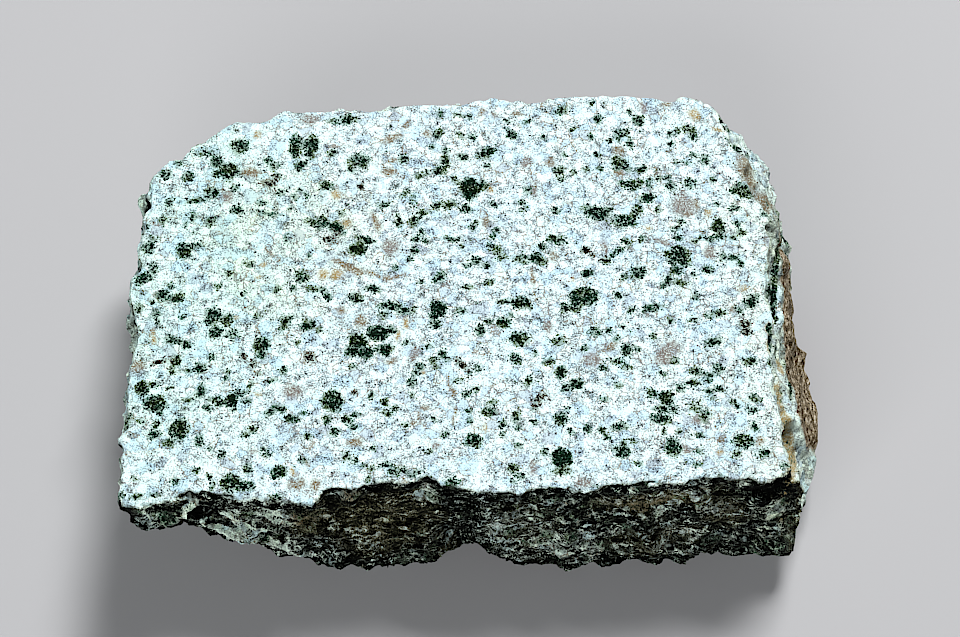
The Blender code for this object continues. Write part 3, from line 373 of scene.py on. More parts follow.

# Tones of the front's film, which is partly weathering and partly painted shade: the middle along X
# and Z, the half sizes, the turn in degrees, how much barer of film, so paler, it is than the rest, and
# how olive.
FRONT_SHADE_TONES = (
    (-14.0, 15.0, 9.0, 8.0, 0, -0.15, 1.0), (-18.5, 24.0, 1.6, 0.9, 0, -0.3, 0.4),
    (-14.5, 24.5, 1.6, 1.2, 0, -0.3, 0.0), (-7.0, 22.5, 1.8, 2.0, 0, 0.5, 0.0),
    (7.5, 14.0, 6.0, 9.0, 0, 0.25, 0.2), (28.0, 21.0, 9.5, 3.2, 0, 0.2, 1.0),
    (32.5, 22.5, 1.0, 0.9, 0, -0.5, 0.0), (37.0, 20.5, 1.0, 0.9, 0, -0.5, 0.0),
    (38.5, 16.0, 3.5, 4.0, 0, 0.1, 0.6), (45.0, 22.5, 4.2, 3.0, 0, -0.5, 0.0),
    (46.4, 16.0, 1.6, 2.6, 0, 0.7, 0.0), (-25.0, 15.0, 3.0, 5.0, -30, 0.0, 0.9),
    (-33.0, 16.0, 7.0, 8.0, 0, 0.3, 0.1), (-41.5, 18.5, 3.4, 4.2, 15, -0.7, 0.0),
    (-48.0, 22.0, 3.5, 3.0, 0, 0.35, 0.0), (-52.5, 20.0, 1.2, 4.0, 0, -0.4, 0.0),
    (15.0, 9.0, 5.0, 4.0, 0, 0.2, 0.0), (28.0, 10.0, 8.0, 3.0, 0, 0.1, 0.5),
)

# Where the pale ground is warmer, and where it is greener, as ovals on the plan.
WARM_TONES = ((47.0, -2.0, 8.0, 45.0), (-28.0, 9.0, 13.0, 13.0))
GREEN_TONES = ((-54.0, 8.0, 26.0, 42.0),)

# Brown stains on the front: the middle along X and Z, and the half sizes.
FRONT_STAINS = (
    (-26.5, 17.5, 2.0, 3.6), (-18.8, 24.2, 1.6, 1.4), (-11.5, 23.8, 2.0, 1.2), (-24.5, 23.5, 2.0, 1.5),
    (44.5, 22.8, 1.4, 2.2), (47.5, 20.0, 1.5, 1.5), (28.0, 21.5, 8.0, 1.8),
)

# Brown seams on the top face, each as the places that it runs through and its width.
SEAMS = (
    (((-32.5, 7.7), (-30.6, 5.1)), 0.35), (((-21.6, 5.7), (-18.0, 3.6)), 0.9),
    (((-16.9, 3.3), (-13.2, 2.1), (-11.1, 3.0)), 0.4), (((-4.3, -15.1), (-2.9, -18.5)), 0.35),
    (((-3.1, -20.5), (-3.1, -23.1)), 0.3), (((-26.2, -28.0), (-24.9, -30.0)), 0.3),
)

# Where one cover gives way to another, each as the start and the end of a soft change. The turns
# are parts of the surface normal: up for the top, to the right, and forward for the front's film, which
# is partly weathering and partly painted shade.
TOP_TURN, RIGHT_TURN, SHADE_FILM_TURN = (0.56, 0.74), (0.35, 0.6), (0.15, 0.35)

# The others are in millimetres: the height where the top begins, how far forward the grooves turn
# brown and the front's film, partly painted shade, comes round the corner, and how far right the
# brown stains run over the rim.
TOP_HEIGHT = (19.5, 21.5)
BROWN_GROOVES, SHADE_FILM_CORNER = (15.0, 17.0), (26.5, 28.5)
STAINED_RIM = (40.0, 41.0)

# The bake map: its sheet's width in millimetres, how many neighbours away the surface is averaged
# to tell which view shows a place, and the flat views: the side that each one shows, what runs to
# its right, its scale and the place of its lower left corner.
BAKE_SHEET = 160.0
BAKE_SPREAD = 12
BAKE_VIEWS = (
    ((0, 0, 1), (1, 0, 0), 1.0, (1.0, 1.0)), ((0, -1, 0), (1, 0, 0), 1.0, (1.0, 79.5)),
    ((1, 0, 0), (0, 0, -1), 1.0, (113.0, 1.0)), ((0, 0, -1), (-1, 0, 0), 0.65, (1.0, 109.0)),
    ((0, 1, 0), (-1, 0, 0), 0.72, (76.0, 109.0)), ((-1, 0, 0), (0, -1, 0), 0.88, (76.0, 133.0)),
)

# The view: the stone from in front and well above, through a long lens, a little sharpened.
CAMERA_TARGET = Vector((0.85, -1.25, 20.0)) * MM
CAMERA_ELEVATION = math.radians(62.0)
CAMERA_DISTANCE = 0.421
CAMERA_LENS = 100.0
SHARPENING = 0.09


def sampled(places, size, seed):
    """A smooth noise at each place, from -1 to 1, with features of this size in millimetres."""
    spots = places / size + np.array((seed, 2.0 * seed, 3.0 * seed))
    return np.array([noise.noise(spot) for spot in spots])


def eased(values, start, end):
    """0 before start, 1 after end, and a soft turn between them."""
    share = np.clip((values - start) / (end - start), 0.0, 1.0)
    return share * share * (3.0 - 2.0 * share)


def only(piece):
    """Make the piece the one selected object, and the active one."""
    bpy.ops.object.select_all(action="DESELECT")
    piece.select_set(True)
    bpy.context.view_layer.objects.active = piece


def apply_modifier(piece, kind, **settings):
    """Add one modifier with these settings and work it into the mesh."""
    only(piece)
    bpy.ops.object.modifier_add(type=kind)
    modifier = piece.modifiers[-1]
    for name, value in settings.items():
        setattr(modifier, name, value)
    bpy.ops.object.modifier_apply(modifier=modifier.name)


def read_vertices(piece, name):
    """The places or the normals of every vertex, one row each."""
    flat = np.empty(len(piece.data.vertices) * 3)
    piece.data.vertices.foreach_get(name, flat)
    return flat.reshape(-1, 3)


def places_of(piece):
    """Every vertex of the piece, in millimetres."""
    return read_vertices(piece, "co") / MM


def put_places(piece, places):
    """Move the vertices of the piece to these places, in millimetres."""
    piece.data.vertices.foreach_set("co", (places * MM).ravel())
    piece.data.update()


def evened(piece, rows, rounds):
    """Rows of numbers for each vertex, averaged with the neighbours' this many times."""
    ends = np.empty(len(piece.data.edges) * 2, int)
    piece.data.edges.foreach_get("vertices", ends)
    ends = ends.reshape(-1, 2)
    here = np.concatenate((ends[:, 0], ends[:, 1]))
    there = np.concatenate((ends[:, 1], ends[:, 0]))
    share = 1.0 / (1.0 + np.bincount(here, minlength=len(rows)))[:, None]
    for _ in range(rounds):
        sums = [np.bincount(here, rows[there, axis], len(rows)) for axis in range(rows.shape[1])]
        rows = (rows + np.stack(sums, 1)) * share
    return rows


def broad_normals(piece, rounds):
    """The way the surface faces round each vertex, with the small relief evened out."""
    normals = evened(piece, read_vertices(piece, "normal"), rounds)
    return normals / np.linalg.norm(normals, axis=1)[:, None]


def even_skin():
    """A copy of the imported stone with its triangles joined, under a fine even skin."""
    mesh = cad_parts["monzonite"].data.copy()
    stone = bpy.data.objects.new("stone_surface", mesh)
    bpy.context.scene.collection.objects.link(stone)
    only(stone)
    bpy.ops.object.mode_set(mode="EDIT")
    bpy.ops.mesh.select_all(action="SELECT")
    bpy.ops.mesh.remove_doubles(threshold=0.001 * MM)
    bpy.ops.object.mode_set(mode="OBJECT")
    apply_modifier(stone, "REMESH", mode="VOXEL", voxel_size=SKIN_CELL * MM)
    apply_modifier(stone, "SMOOTH", factor=0.5, iterations=SKIN_SMOOTHING)
    return stone


def sharpen_edges(stone):
    """Push the rounded rims back out to where a break leaves them, off the rest face."""
    places = places_of(stone)
    normals = read_vertices(stone, "normal")
    outward = ((places - evened(stone, places, EDGE_REACH)) * normals).sum(axis=1)
    raised = np.clip(EDGE_GAIN * outward, -EDGE_SINK, EDGE_RISE)
    places += normals * (raised * eased(places[:, 2], REST_KEPT, 3.0))[:, None]
    put_places(stone, places)


def grain_numbers(cells, seed):
    """Three numbers from 0 to 1 for each cell of a grid, the same ones for the same cell."""
    mixed = cells.astype(np.int64) @ np.array((73856093, 19349663, 83492791)) + 9973 * seed
    numbers = []
    for _ in range(3):
        for shift, factor in ((15, 2246822519), (13, 3266489917)):
            mixed = (mixed ^ (mixed >> shift)) * factor & 0xFFFFFFFF
        numbers.append(mixed / 0xFFFFFFFF)
    return np.stack(numbers, 1)


def facets(places, size, tilt, bowl, seed):
    """Height of a surface broken into hollow facets of this size that meet in sharp ridges."""
    spots = places / size
    corner = np.floor(spots)
    lowest = np.full(len(places), np.inf)
    for step in itertools.product((-1, 0, 1), repeat=3):
        cell = corner + step
        apart = spots - cell - grain_numbers(cell, seed)
        lean = 2.0 * grain_numbers(cell, seed + 1) - 1.0
        level = tilt * (apart * lean).sum(axis=1) + bowl * (apart * apart).sum(axis=1)
        lowest = np.minimum(lowest, level)
    return size * (lowest - lowest.mean())


def ledges(places):
    """Height of ledges that lean out as the side rises and then step back in a shelf."""
    dip = LEDGE_DIP * np.minimum(places[:, 0] - LEDGE_DIP_END, 0.0)
    rise = places[:, 2] + dip + 2.2 * sampled(places, 11.0, 21.0) + 0.5 * sampled(places, 2.5, 22.0)
    share = rise / LEDGE_THICKNESS % 1.0
    strength = eased(sampled(places * (1.0, 1.0, 1.8), 6.0, 23.0), -0.45, 0.35)
    return strength * (share - 0.5)


def off_middle(places, x, y, half_x, half_y, turn=0.0):
    """How far each place lies from an oval's middle: 0 there, and 1 on its outline."""
    offset = places[:, :2] - (x, y)
    cosine, sine = math.cos(math.radians(turn)), math.sin(math.radians(turn))
    along = (offset[:, 0] * cosine + offset[:, 1] * sine) / half_x
    across = (offset[:, 1] * cosine - offset[:, 0] * sine) / half_y
    return np.hypot(along, across)


def dark_patch(x, y, half_x, half_y, turn=0, fullness=STRONG):
    """The six numbers of a dark patch, with the ones that its table leaves out."""
    return x, y, half_x, half_y, turn, fullness


def patch_depth(places, patches):
    """How deep each place lies in a dark patch: as much as it is full inside, below 0 outside."""
    depth = np.full(len(places), OUTSIDE)
    for x, y, half_x, half_y, turn, fullness in itertools.starmap(dark_patch, patches):
        half_x, half_y = (max(half, PATCH_LEAST) + PATCH_SPREAD for half in (half_x, half_y))
        reach = max(half_x, half_y) + 1.5
        near = (np.abs(places[:, 0] - x) < reach) & (np.abs(places[:, 1] - y) < reach)
        inside = (1.0 - off_middle(places[near], x, y, half_x, half_y, turn)) * min(half_x, half_y)
        depth[near] = np.maximum(depth[near], np.minimum(inside / PATCH_RIM, 1.0) * fullness)
    return depth


def stain_cover(places, stains):
    """How much of a stain covers each place, from 0 to 1, with a soft rim."""
    cover = np.zeros(len(places))
    for stain in stains:
        cover = np.maximum(cover, eased(1.45 - off_middle(places, *stain), 0.0, 0.9))
    return cover


def off_line(places, points):
    """How far each place lies from a line through these points on the plan, in millimetres."""
    nearest = np.full(len(places), np.inf)
    for start, end in zip(points, points[1:]):
        start, run = np.array(start), np.subtract(end, start)
        share = np.clip((places[:, :2] - start) @ run / (run @ run), 0.0, 1.0)
        apart = np.linalg.norm(places[:, :2] - start - share[:, None] * run, axis=1)
        nearest = np.minimum(nearest, apart)
    return nearest


def line_cover(places, lines):
    """How much of the lines covers each place, from 0 to 1."""
    cover = np.zeros(len(places))
    for points, width in lines:
        cover = np.maximum(cover, eased(width - off_line(places, points), 0.0, 0.5 * width))
    return cover


def shares_of_area(stone):
    """The share of the whole surface that each vertex stands for, with large shares cut."""
    mesh = stone.data
    mesh.calc_loop_triangles()
    corners = np.empty(3 * len(mesh.loop_triangles), np.int32)
    mesh.loop_triangles.foreach_get("vertices", corners)
    areas = np.empty(len(mesh.loop_triangles))
    mesh.loop_triangles.foreach_get("area", areas)
    shares = np.bincount(corners, np.repeat(areas, 3), len(mesh.vertices))
    shares = np.minimum(shares, HIDDEN_SHARE * shares.mean())
    return shares / shares.sum()


def scattered_depth(places, normals, shares, count, seed):
    """As patch_depth, for patches scattered over the sides that no list describes."""
    draw = np.random.default_rng(seed)
    depth = np.full(len(places), OUTSIDE)
    for middle in draw.choice(len(places), count, p=shares):
        half = draw.uniform(0.5, 1.7)
        flat = draw.uniform(0.4, 1.0)
        way = draw.normal(size=3)
        way -= way @ normals[middle] * normals[middle]
        way /= np.linalg.norm(way)
        fullness = draw.choice((SOLID, STRONG, STRONG, SPONGY, THIN))
        offset = places - places[middle]
        near = np.abs(offset).max(axis=1) < half + 2.0
        offset = offset[near]
        squeezed = offset + (1.0 / flat - 1.0) * (offset @ way)[:, None] * way
        inside = (half - np.linalg.norm(squeezed, axis=1)) * flat
        depth[near] = np.maximum(depth[near], np.minimum(inside / PATCH_RIM, 1.0) * fullness)
    return depth


def groove_depth(places):
    """How deep each place lies in the grooves along the right flank, from 0 to 1."""
    depth = np.zeros(len(places))
    for points, width in FLANK_GROOVES:
        depth = np.maximum(depth, eased(1.25 * width - off_line(places, points), 0.0, width))
    return depth


def tan_cover(places, facing):
    """How much of each place lies on the tan weathered face, from 0 to 1."""
    wavy = 0.25 * sampled(places, 1.2, 61.0)
    ragged = 2.6 * sampled(places, 4.0, 63.0) + 1.2 * sampled(places, 1.2, 64.0)
    off = places[:, 0] - np.interp(places[:, 1], TAN_ALONG, TAN_BOUND) + wavy
    slant = TAN_FRONT_SLANT * (places[:, 2] - TAN_FRONT_HEIGHT)
    low = eased(9.0 - places[:, 2], 0.0, 2.0)
    front_end = places[:, 1] - TAN_FRONT_END + slant + ragged * low
    back_end = TAN_BACK_END - places[:, 1] + 1.5 * ragged
    cover = eased(off, -0.1, 0.3) * eased(front_end, 0.0, 1.2) * eased(back_end, 0.0, 2.0)
    return cover * eased(facing[:, 0], 0.0, 0.2)


def pits(places):
    """How deep the pits of the tan face are at each place, in millimetres."""
    depth = np.zeros(len(places))
    for pit in TAN_PITS:
        off = np.linalg.norm(places - pit, axis=1) / PIT_REACH
        depth = np.maximum(depth, PIT_DEPTH * eased(1.6 - off, 0.0, 1.2))
    return depth


def hollows(places):
    """How far the front stands back at each place, in millimetres."""
    back = np.zeros(len(places))
    ragged = 0.4 * sampled(places, 1.3, 62.0)
    for x, z, half_x, half_z, turn, depth in FRONT_HOLLOWS:
        off = off_middle(places[:, (0, 2)], x, z, half_x, half_z, turn) + ragged
        back = np.maximum(back, depth * eased(1.25 - off, 0.0, 0.8))
    return back


def swells(places):
    """How far each place is drawn out, or back, to follow the outline in the photograph."""
    height = np.zeros(len(places))
    for middle, reach, rise in SWELLS:
        off = np.linalg.norm(places - middle, axis=1) / reach
        height += rise * eased(1.5 - off, 0.0, 1.0)
    return height


def front_ribs(places):
    """How much each place lies on a rib of the front, from 0 to 1."""
    return line_cover(places[:, (0, 2)], FRONT_RIBS)


def work_relief(stone):
    """Break the skin into facets, grains and ledges, each side in its own way."""
    places = places_of(stone)
    facing = broad_normals(stone, BROAD_SPREAD)
    top = eased(facing[:, 2], 0.62, 0.9)
    under = eased(-facing[:, 2], 0.5, 0.85)
    side = 1.0 - top - under
    front = eased(-facing[:, 1], 0.3, 0.7) * side
    tan = tan_cover(places, facing)
    rough = (side + 0.5 * under) * (1.0 - 0.65 * tan)
    height = np.zeros(len(places))
    for size, tilt, bowl, seed in TOP_FACETS:
        height += top * facets(places, size, tilt, bowl, seed)
    for size, tilt, bowl, seed in SIDE_FACETS:
        height += rough * facets(places, size, tilt, bowl, seed)
    height += (LEDGE_HEIGHT * side * (1.0 - tan) + FRONT_LEDGE_HEIGHT * front) * ledges(places)
    height -= tan * pits(places)
    height -= side * GROOVE_DEPTH * groove_depth(places)
    height += front * (RIB_HEIGHT * front_ribs(places) - hollows(places))
    height += CRUMBLE_HEIGHT * (1.0 + 1.5 * side) * sampled(places, CRUMBLE_SIZE, 31.0)
    dark = np.clip(patch_depth(places, DARK_PATCHES), 0.0, 1.0) * top
    height += dark * (sampled(places, 0.8, 33.0) * 0.25 - PATCH_PITS)
    outline = swells(places) - OUTWARD_BIAS * (1.0 - top)
    height += outline * (1.0 - eased(facing[:, 2], 0.8, 0.95))
    standing = eased(places[:, 2], REST_KEPT, REST_KEPT + 2.0)
    places += facing * (height * standing)[:, None]
    put_places(stone, places)


def press_rest_face(stone):
    """Lay the spot that the stone rests on flat on the floor, with nothing below it."""
    places = places_of(stone)
    places[:, 2] = np.where(places[:, 2] < REST_KEPT, 0.0, places[:, 2])
    put_places(stone, places)


def thin_out(stone):
    """Merge triangles, first of all on the sides that are rarely seen."""
    facing = broad_normals(stone, 4)
    seen = np.maximum(eased(facing[:, 2], -0.2, 0.5), eased(-facing[:, 1], 0.2, 0.7))
    seen = np.maximum(seen, places_of(stone)[:, 2] < 2.0 * REST_KEPT)
    group = stone.vertex_groups.new(name="rarely seen")
    levels = np.round((1.0 - 0.9 * seen) * 10.0).astype(int)
    for level in range(11):
        group.add(np.flatnonzero(levels == level).tolist(), level / 10.0, "REPLACE")
    stone.data.calc_loop_triangles()
    ratio = FACES_KEPT / len(stone.data.loop_triangles)
    apply_modifier(
        stone, "DECIMATE", ratio=ratio, use_collapse_triangulate=True,
        vertex_group=group.name, vertex_group_factor=0.0005,
    )
    stone.vertex_groups.clear()


def keep_value(stone, name, values):
    """Keep one number for each vertex, for the material to read."""
    attribute = stone.data.attributes.new(name, "FLOAT", "POINT")
    attribute.data.foreach_set("value", values.astype(np.float32))


def map_dark_grains(stone, places, warped, facing, top, dark_groove):
    """Keep how deep each vertex lies in dark patches, and where those are brown."""
    listed = patch_depth(warped, DARK_PATCHES)
    others = scattered_depth(places, facing, shares_of_area(stone), HIDDEN_PATCHES, HIDDEN_SEED)
    rim = listed * top * 2.0 + OUTSIDE * (1 - top)
    dark = np.where(top > 0.5, listed, np.maximum(others, rim))
    keep_value(stone, "dark_depth", np.maximum(dark, dark_groove))
    brown = np.zeros(len(places))
    for x, y in BROWN_PATCHES:
        off = off_middle(warped, x, y, BROWN_REACH, BROWN_REACH)
        brown = np.maximum(brown, eased(1.3 - off, 0.0, 0.5))
    keep_value(stone, "dark_brown", brown)


def map_stains(stone, places, warped, facing, top, brown_groove):
    """Keep how much pink, brown and ochre covers each vertex."""
    keep_value(stone, "pink_cover", top * stain_cover(warped, PINK_GRAINS))
    brown = np.maximum(stain_cover(warped, BROWN_STAINS), line_cover(warped, SEAMS))
    brown *= np.maximum(top, eased(places[:, 0], *STAINED_RIM))
    on_front = (1.0 - top) * stain_cover(warped[:, (0, 2)], FRONT_STAINS)
    brown = np.maximum(brown, on_front * eased(-facing[:, 1], 0.3, 0.5))
    keep_value(stone, "brown_cover", np.maximum(brown, brown_groove))
    streaks = line_cover(warped, FLANK_STREAKS) * eased(facing[:, 2], 0.05, 0.3)
    keep_value(stone, "ochre_cover", np.maximum(top * stain_cover(warped, OCHRE_STAINS), streaks))


def map_tones(stone, places):
    """Keep where the pale ground is warmer and where it is greener."""
    drifting = np.clip(0.75 + 0.6 * sampled(places, 5.0, 65.0), 0.0, 1.0)
    keep_value(stone, "tone_warm", drifting * stain_cover(places, WARM_TONES))
    keep_value(stone, "tone_green", drifting * stain_cover(places, GREEN_TONES))


def map_films_and_shade(stone, places, warped, facing, top, right):
    """Keep where films cover the broken sides, how bare they leave them and how olive they are: on the
    front the dark film is partly weathering and partly painted shade.
    """
    local = broad_normals(stone, 1)
    corner = eased(-places[:, 1], *SHADE_FILM_CORNER)
    # Painted shade: the front-facing sides get the dark film, thinner where they turn to the right, save
    # near the front corner.
    front = eased(-facing[:, 1], *SHADE_FILM_TURN) * (1.0 - top) * (1.0 - 0.6 * right * (1.0 - corner))
    front *= 1.0 - eased(-facing[:, 2], 0.78, 0.9)
    patchy = eased(sampled(places, 14.0, 51.0), -0.25, 0.3)
    hidden = (1.0 - top) * (1.0 - front) * (0.3 + 0.5 * patchy)
    # Painted light and shade: the front keeps more dark film than the hidden sides; its ribs and upward
    # faces are left paler, like lit ledges, and its downward faces darker.
    bare = 0.62 - 0.44 * front + 0.6 * front * front_ribs(warped)
    bare += front * (0.2 * eased(local[:, 2], 0.25, 0.6) - 0.1 * eased(-local[:, 2], 0.1, 0.5))
    hue = 0.5 * front * right
    # Painted shade: listed spots of the front, such as its deep hollows, get more or less of the dark
    # film.
    for x, z, half_x, half_z, turn, barer, olive in FRONT_SHADE_TONES:
        off = off_middle(places[:, (0, 2)], x, z, half_x, half_z, turn)
        cover = front * eased(1.4 - off, 0.0, 0.9)
        bare += 0.7 * cover * barer
        hue = np.maximum(hue, cover * olive)
    keep_value(stone, "film_and_shade_cover", np.maximum(front, hidden))
    keep_value(stone, "film_and_shade_bare", bare)
    keep_value(stone, "film_and_shade_olive", hue)


def map_minerals(stone):
    """Work out what covers each vertex: dark patches, stains, tones, and films, which on the front are
    partly painted shade.
    """
    places = places_of(stone)
    facing = broad_normals(stone, 6)
    ragged = 0.22 * sampled(places, 1.4, 40.0) + 0.14 * sampled(places, 0.7, 43.0)
    top = eased(facing[:, 2] + ragged, *TOP_TURN) * eased(places[:, 2], *TOP_HEIGHT)
    warped = places.copy()
    for axis, seed in enumerate((41.0, 42.0)):
        warped[:, axis] += 0.45 * sampled(places, 1.3, seed)
    right = eased(facing[:, 0], *RIGHT_TURN) * (1.0 - top)
    groove = groove_depth(warped) * np.maximum(right, top)
    browned = eased(-places[:, 1], *BROWN_GROOVES)
    dark_groove = np.where(groove > 0.3, 1.3 * groove * (1.0 - browned) - 0.2, OUTSIDE)
    map_dark_grains(stone, places, warped, facing, top, dark_groove)
    map_stains(stone, places, warped, facing, top, 0.85 * groove * browned)
    map_tones(stone, places)
    map_films_and_shade(stone, places, warped, facing, top, right)
    keep_value(stone, "tan_film", tan_cover(places, facing))


def lay_bake_map(stone):
    """Lay each side of the stone out flat, so that the bake spends its picture well."""
    corners = np.empty(len(stone.data.loops), np.int32)
    stone.data.loops.foreach_get("vertex_index", corners)
    faces = corners.reshape(-1, 3)
    facing = broad_normals(stone, BAKE_SPREAD)[faces].mean(axis=1)
    view_of = np.argmax(facing @ np.array([view[0] for view in BAKE_VIEWS], float).T, axis=1)
    places = places_of(stone)[faces]
    spots = np.empty(places.shape[:2] + (2,))
    for index, (side, right, scale, corner) in enumerate(BAKE_VIEWS):
        shown = view_of == index
        flat = places[shown] @ np.transpose([right, np.cross(side, right)])
        spots[shown] = (flat - flat.min(axis=(0, 1))) * scale + corner
    layer = stone.data.uv_layers.new(name="OFBake")
    layer.uv.foreach_set("vector", (spots / BAKE_SHEET).astype(np.float32).ravel())


class Sheet:
    """A node tree under work: adds nodes and joins them in few words."""

    def __init__(self, tree):
        self.tree = tree

    def feed(self, socket, value):
        """Link a socket to another one, or set its value."""
        if isinstance(value, bpy.types.NodeSocket):
            self.tree.links.new(value, socket)
        else:
            socket.default_value = value

    def add(self, kind, inputs=(), **settings):
        """A new node; its inputs are given by name or by number."""
        node = self.tree.nodes.new("ShaderNode" + kind)
        for name, value in settings.items():
            setattr(node, name, value)
        for name, value in dict(inputs).items():
            self.feed(node.inputs[name], value)
        return node

    def math(self, operation, a, b=0.0, c=0.0):
        inputs = {0: a, 1: b} if c == 0.0 else {0: a, 1: b, 2: c}
        return self.add("Math", inputs, operation=operation).outputs[0]

    def plus(self, a, b):
        return self.math("ADD", a, b)

    def times(self, a, b):
        return self.math("MULTIPLY", a, b)

    def scaled(self, value, factor, shift):
        """The value times a factor, and shifted."""
        return self.math("MULTIPLY_ADD", value, factor, shift)

    def ramp(self, value, start, end, low=0.0, high=1.0):
        """From low to high, softly, while the value goes from start to end."""
        inputs = {0: value, 1: start, 2: end, 3: low, 4: high}
        return self.add("MapRange", inputs, interpolation_type="SMOOTHSTEP").outputs[0]

    def steps(self, value, steps):
        """Colours at places along a value, mixed in between."""
        node = self.add("ValToRGB", {"Fac": value})
        stops = node.color_ramp.elements
        for index, (place, colour) in enumerate(steps):
            stop = stops[index] if index < 2 else stops.new(place)
            stop.position = place
            stop.color = (*colour, 1.0)
        return node.outputs["Color"]

    def mix(self, share, a, b, blend="MIX"):
        """Two colours mixed; a plain colour is given by three numbers."""
        a, b = ((*side, 1.0) if isinstance(side, tuple) else side for side in (a, b))
        node = self.add("Mix", {0: share, 6: a, 7: b}, data_type="RGBA", blend_type=blend)
        return node.outputs[2]

    def noise(self, spot, size, detail=1.0, rough=0.5, bend=0.0):
        """A noise from 0 to 1, with features of this size in millimetres."""
        inputs = {
            "Vector": spot, "Scale": 1.0 / size, "Detail": detail, "Roughness": rough,
            "Distortion": bend,
        }
        return self.add("TexNoise", inputs).outputs["Fac"]


def new_group(name, inputs, outputs):
    """An empty node group with these sockets, each given as a name and a kind."""
    tree = bpy.data.node_groups.new(name, "ShaderNodeTree")
    for socket, kind, value in inputs:
        made = tree.interface.new_socket(socket, in_out="INPUT", socket_type="NodeSocket" + kind)
        if value is not None:
            made.default_value = value
    for socket, kind in outputs:
        tree.interface.new_socket(socket, in_out="OUTPUT", socket_type="NodeSocket" + kind)
    given = tree.nodes.new("NodeGroupInput").outputs
    return Sheet(tree), given, tree.nodes.new("NodeGroupOutput").inputs


def pale_ground_group():
    """Feldspar: chalky and bluish grains, grey speckle in veils that is partly painted shade of the fine
    roughness, dark specks and thin cracks.
    """
    sheet, given, out = new_group(
        "Pale ground",
        (("Spot", "Vector", None),),
        (("Colour", "Color"), ("Fine", "Float"), ("Veil", "Float"), ("Height", "Float")),
    )
    spot = given["Spot"]
    fine = sheet.noise(spot, 0.235, 2.0, 0.75, 0.4)
    veil = sheet.noise(spot, 1.4, 3.0, 0.6)
    bend = sheet.add("TexNoise", {"Vector": spot, "Scale": 2.4, "Detail": 1.0}).outputs["Color"]
    swayed = {0: bend, 1: (0.55, 0.55, 0.55), 2: spot}
    bent = sheet.add("VectorMath", swayed, operation="MULTIPLY_ADD").outputs[0]
    level = sheet.plus(sheet.times(fine, 0.85), sheet.scaled(veil, 0.62, -0.235))
    # The grey speckle: partly grain tone and partly painted shade of the fine roughness, down to near
    # black.
    tone = sheet.steps(level, (
        (0.42, (0.74, 0.92, 0.93)),
        (0.73, (0.010, 0.018, 0.015)),
        (0.49, (0.65, 0.85, 0.88)),
        (0.55, (0.46, 0.58, 0.63)),
        (0.61, (0.23, 0.275, 0.30)),
        (0.67, (0.065, 0.09, 0.085)),
    ))
    # Grains, each with a tint of its own, and cracks along parts of their rims.
    cells = {"Vector": bent, "Scale": 0.62}
    grain = sheet.add("TexVoronoi", cells)
    kind = sheet.add("SeparateColor", {0: grain.outputs["Color"]}).outputs
    tint = sheet.steps(kind[0], (
        (0.0, (0.74, 0.72, 0.76)),
        (1.0, (1.0, 1.0, 1.0)),
        (0.16, (0.80, 0.90, 1.0)),
        (0.34, (0.95, 0.99, 1.0)),
        (0.62, (1.0, 1.0, 0.95)),
    ))
    colour = sheet.mix(1.0, tone, tint, "MULTIPLY")
    rim = sheet.add("TexVoronoi", cells, feature="DISTANCE_TO_EDGE").outputs["Distance"]
    cracked = sheet.ramp(sheet.plus(kind[1], sheet.scaled(fine, 1.6, -0.8)), 0.58, 0.72)
    crack = sheet.times(sheet.ramp(rim, 0.075, 0.02), cracked)
    lines = sheet.steps(kind[2], (
        (0.0, (0.10, 0.12, 0.12)),
        (1.0, (0.26, 0.215, 0.13)),
        (0.5, (0.22, 0.21, 0.20)),
    ))
    colour = sheet.mix(sheet.times(crack, 0.85), colour, lines)
    # Loose dark specks, most of them near the veils.
    speck = sheet.add("TexVoronoi", {"Vector": bent, "Scale": 1.75})
    draw = sheet.add("SeparateColor", {0: speck.outputs["Color"]}).outputs
    reach = sheet.plus(sheet.scaled(draw[0], 0.62, -0.42), sheet.scaled(veil, 0.5, -0.25))
    inside = sheet.math("SUBTRACT", reach, speck.outputs["Distance"])
    colour = sheet.mix(sheet.ramp(inside, -0.03, 0.03), colour, (0.006, 0.010, 0.007))
    sheet.feed(out["Colour"], colour)
    sheet.feed(out["Fine"], fine)
    sheet.feed(out["Veil"], veil)
    height = sheet.times(fine, sheet.ramp(veil, 0.35, 0.65, 0.35, 1.0))
    sheet.feed(out["Height"], sheet.math("SUBTRACT", height, sheet.times(crack, 0.3)))
    return sheet.tree


def dark_grain_group():
    """Spongy dark grains: worm-like, thinning out from a patch's middle, with pale gaps between."""
    sheet, given, out = new_group(
        "Dark grains",
        (
            ("Spot", "Vector", None), ("Depth", "Float", -1.0), ("Brown", "Float", 0.0),
            ("Fine", "Float", 0.5),
        ),
        (("Mask", "Float"), ("Colour", "Color")),
    )
    worms = sheet.noise(given["Spot"], 0.38, 1.5, 0.65, 0.8)
    worms = sheet.plus(worms, sheet.scaled(given["Fine"], 0.35, -0.175))
    over = sheet.plus(sheet.scaled(worms, 9.5, -4.75), sheet.scaled(given["Depth"], 1.9, -0.65))
    sheet.feed(out["Mask"], sheet.ramp(over, -0.10, 0.08))
    hue = sheet.noise(given["Spot"], 2.5, 0.0)
    over = sheet.times(over, 0.82)
    green = sheet.steps(over, (
        (0.0, (0.078, 0.165, 0.118)),
        (1.0, (0.0003, 0.0065, 0.0022)),
        (0.3, (0.020, 0.072, 0.044)),
        (0.65, (0.003, 0.025, 0.011)),
    ))
    olive = sheet.steps(over, (
        (0.0, (0.135, 0.185, 0.085)),
        (1.0, (0.0015, 0.0065, 0.0015)),
        (0.35, (0.042, 0.082, 0.030)),
        (0.7, (0.010, 0.027, 0.008)),
    ))
    brown = sheet.steps(over, (
        (0.0, (0.20, 0.15, 0.10)),
        (1.0, (0.001, 0.001, 0.001)),
        (0.3, (0.045, 0.030, 0.016)),
        (0.6, (0.007, 0.005, 0.003)),
    ))
    colour = sheet.mix(sheet.ramp(hue, 0.5, 0.62), green, olive)
    sheet.feed(out["Colour"], sheet.mix(given["Brown"], colour, brown))
    return sheet.tree


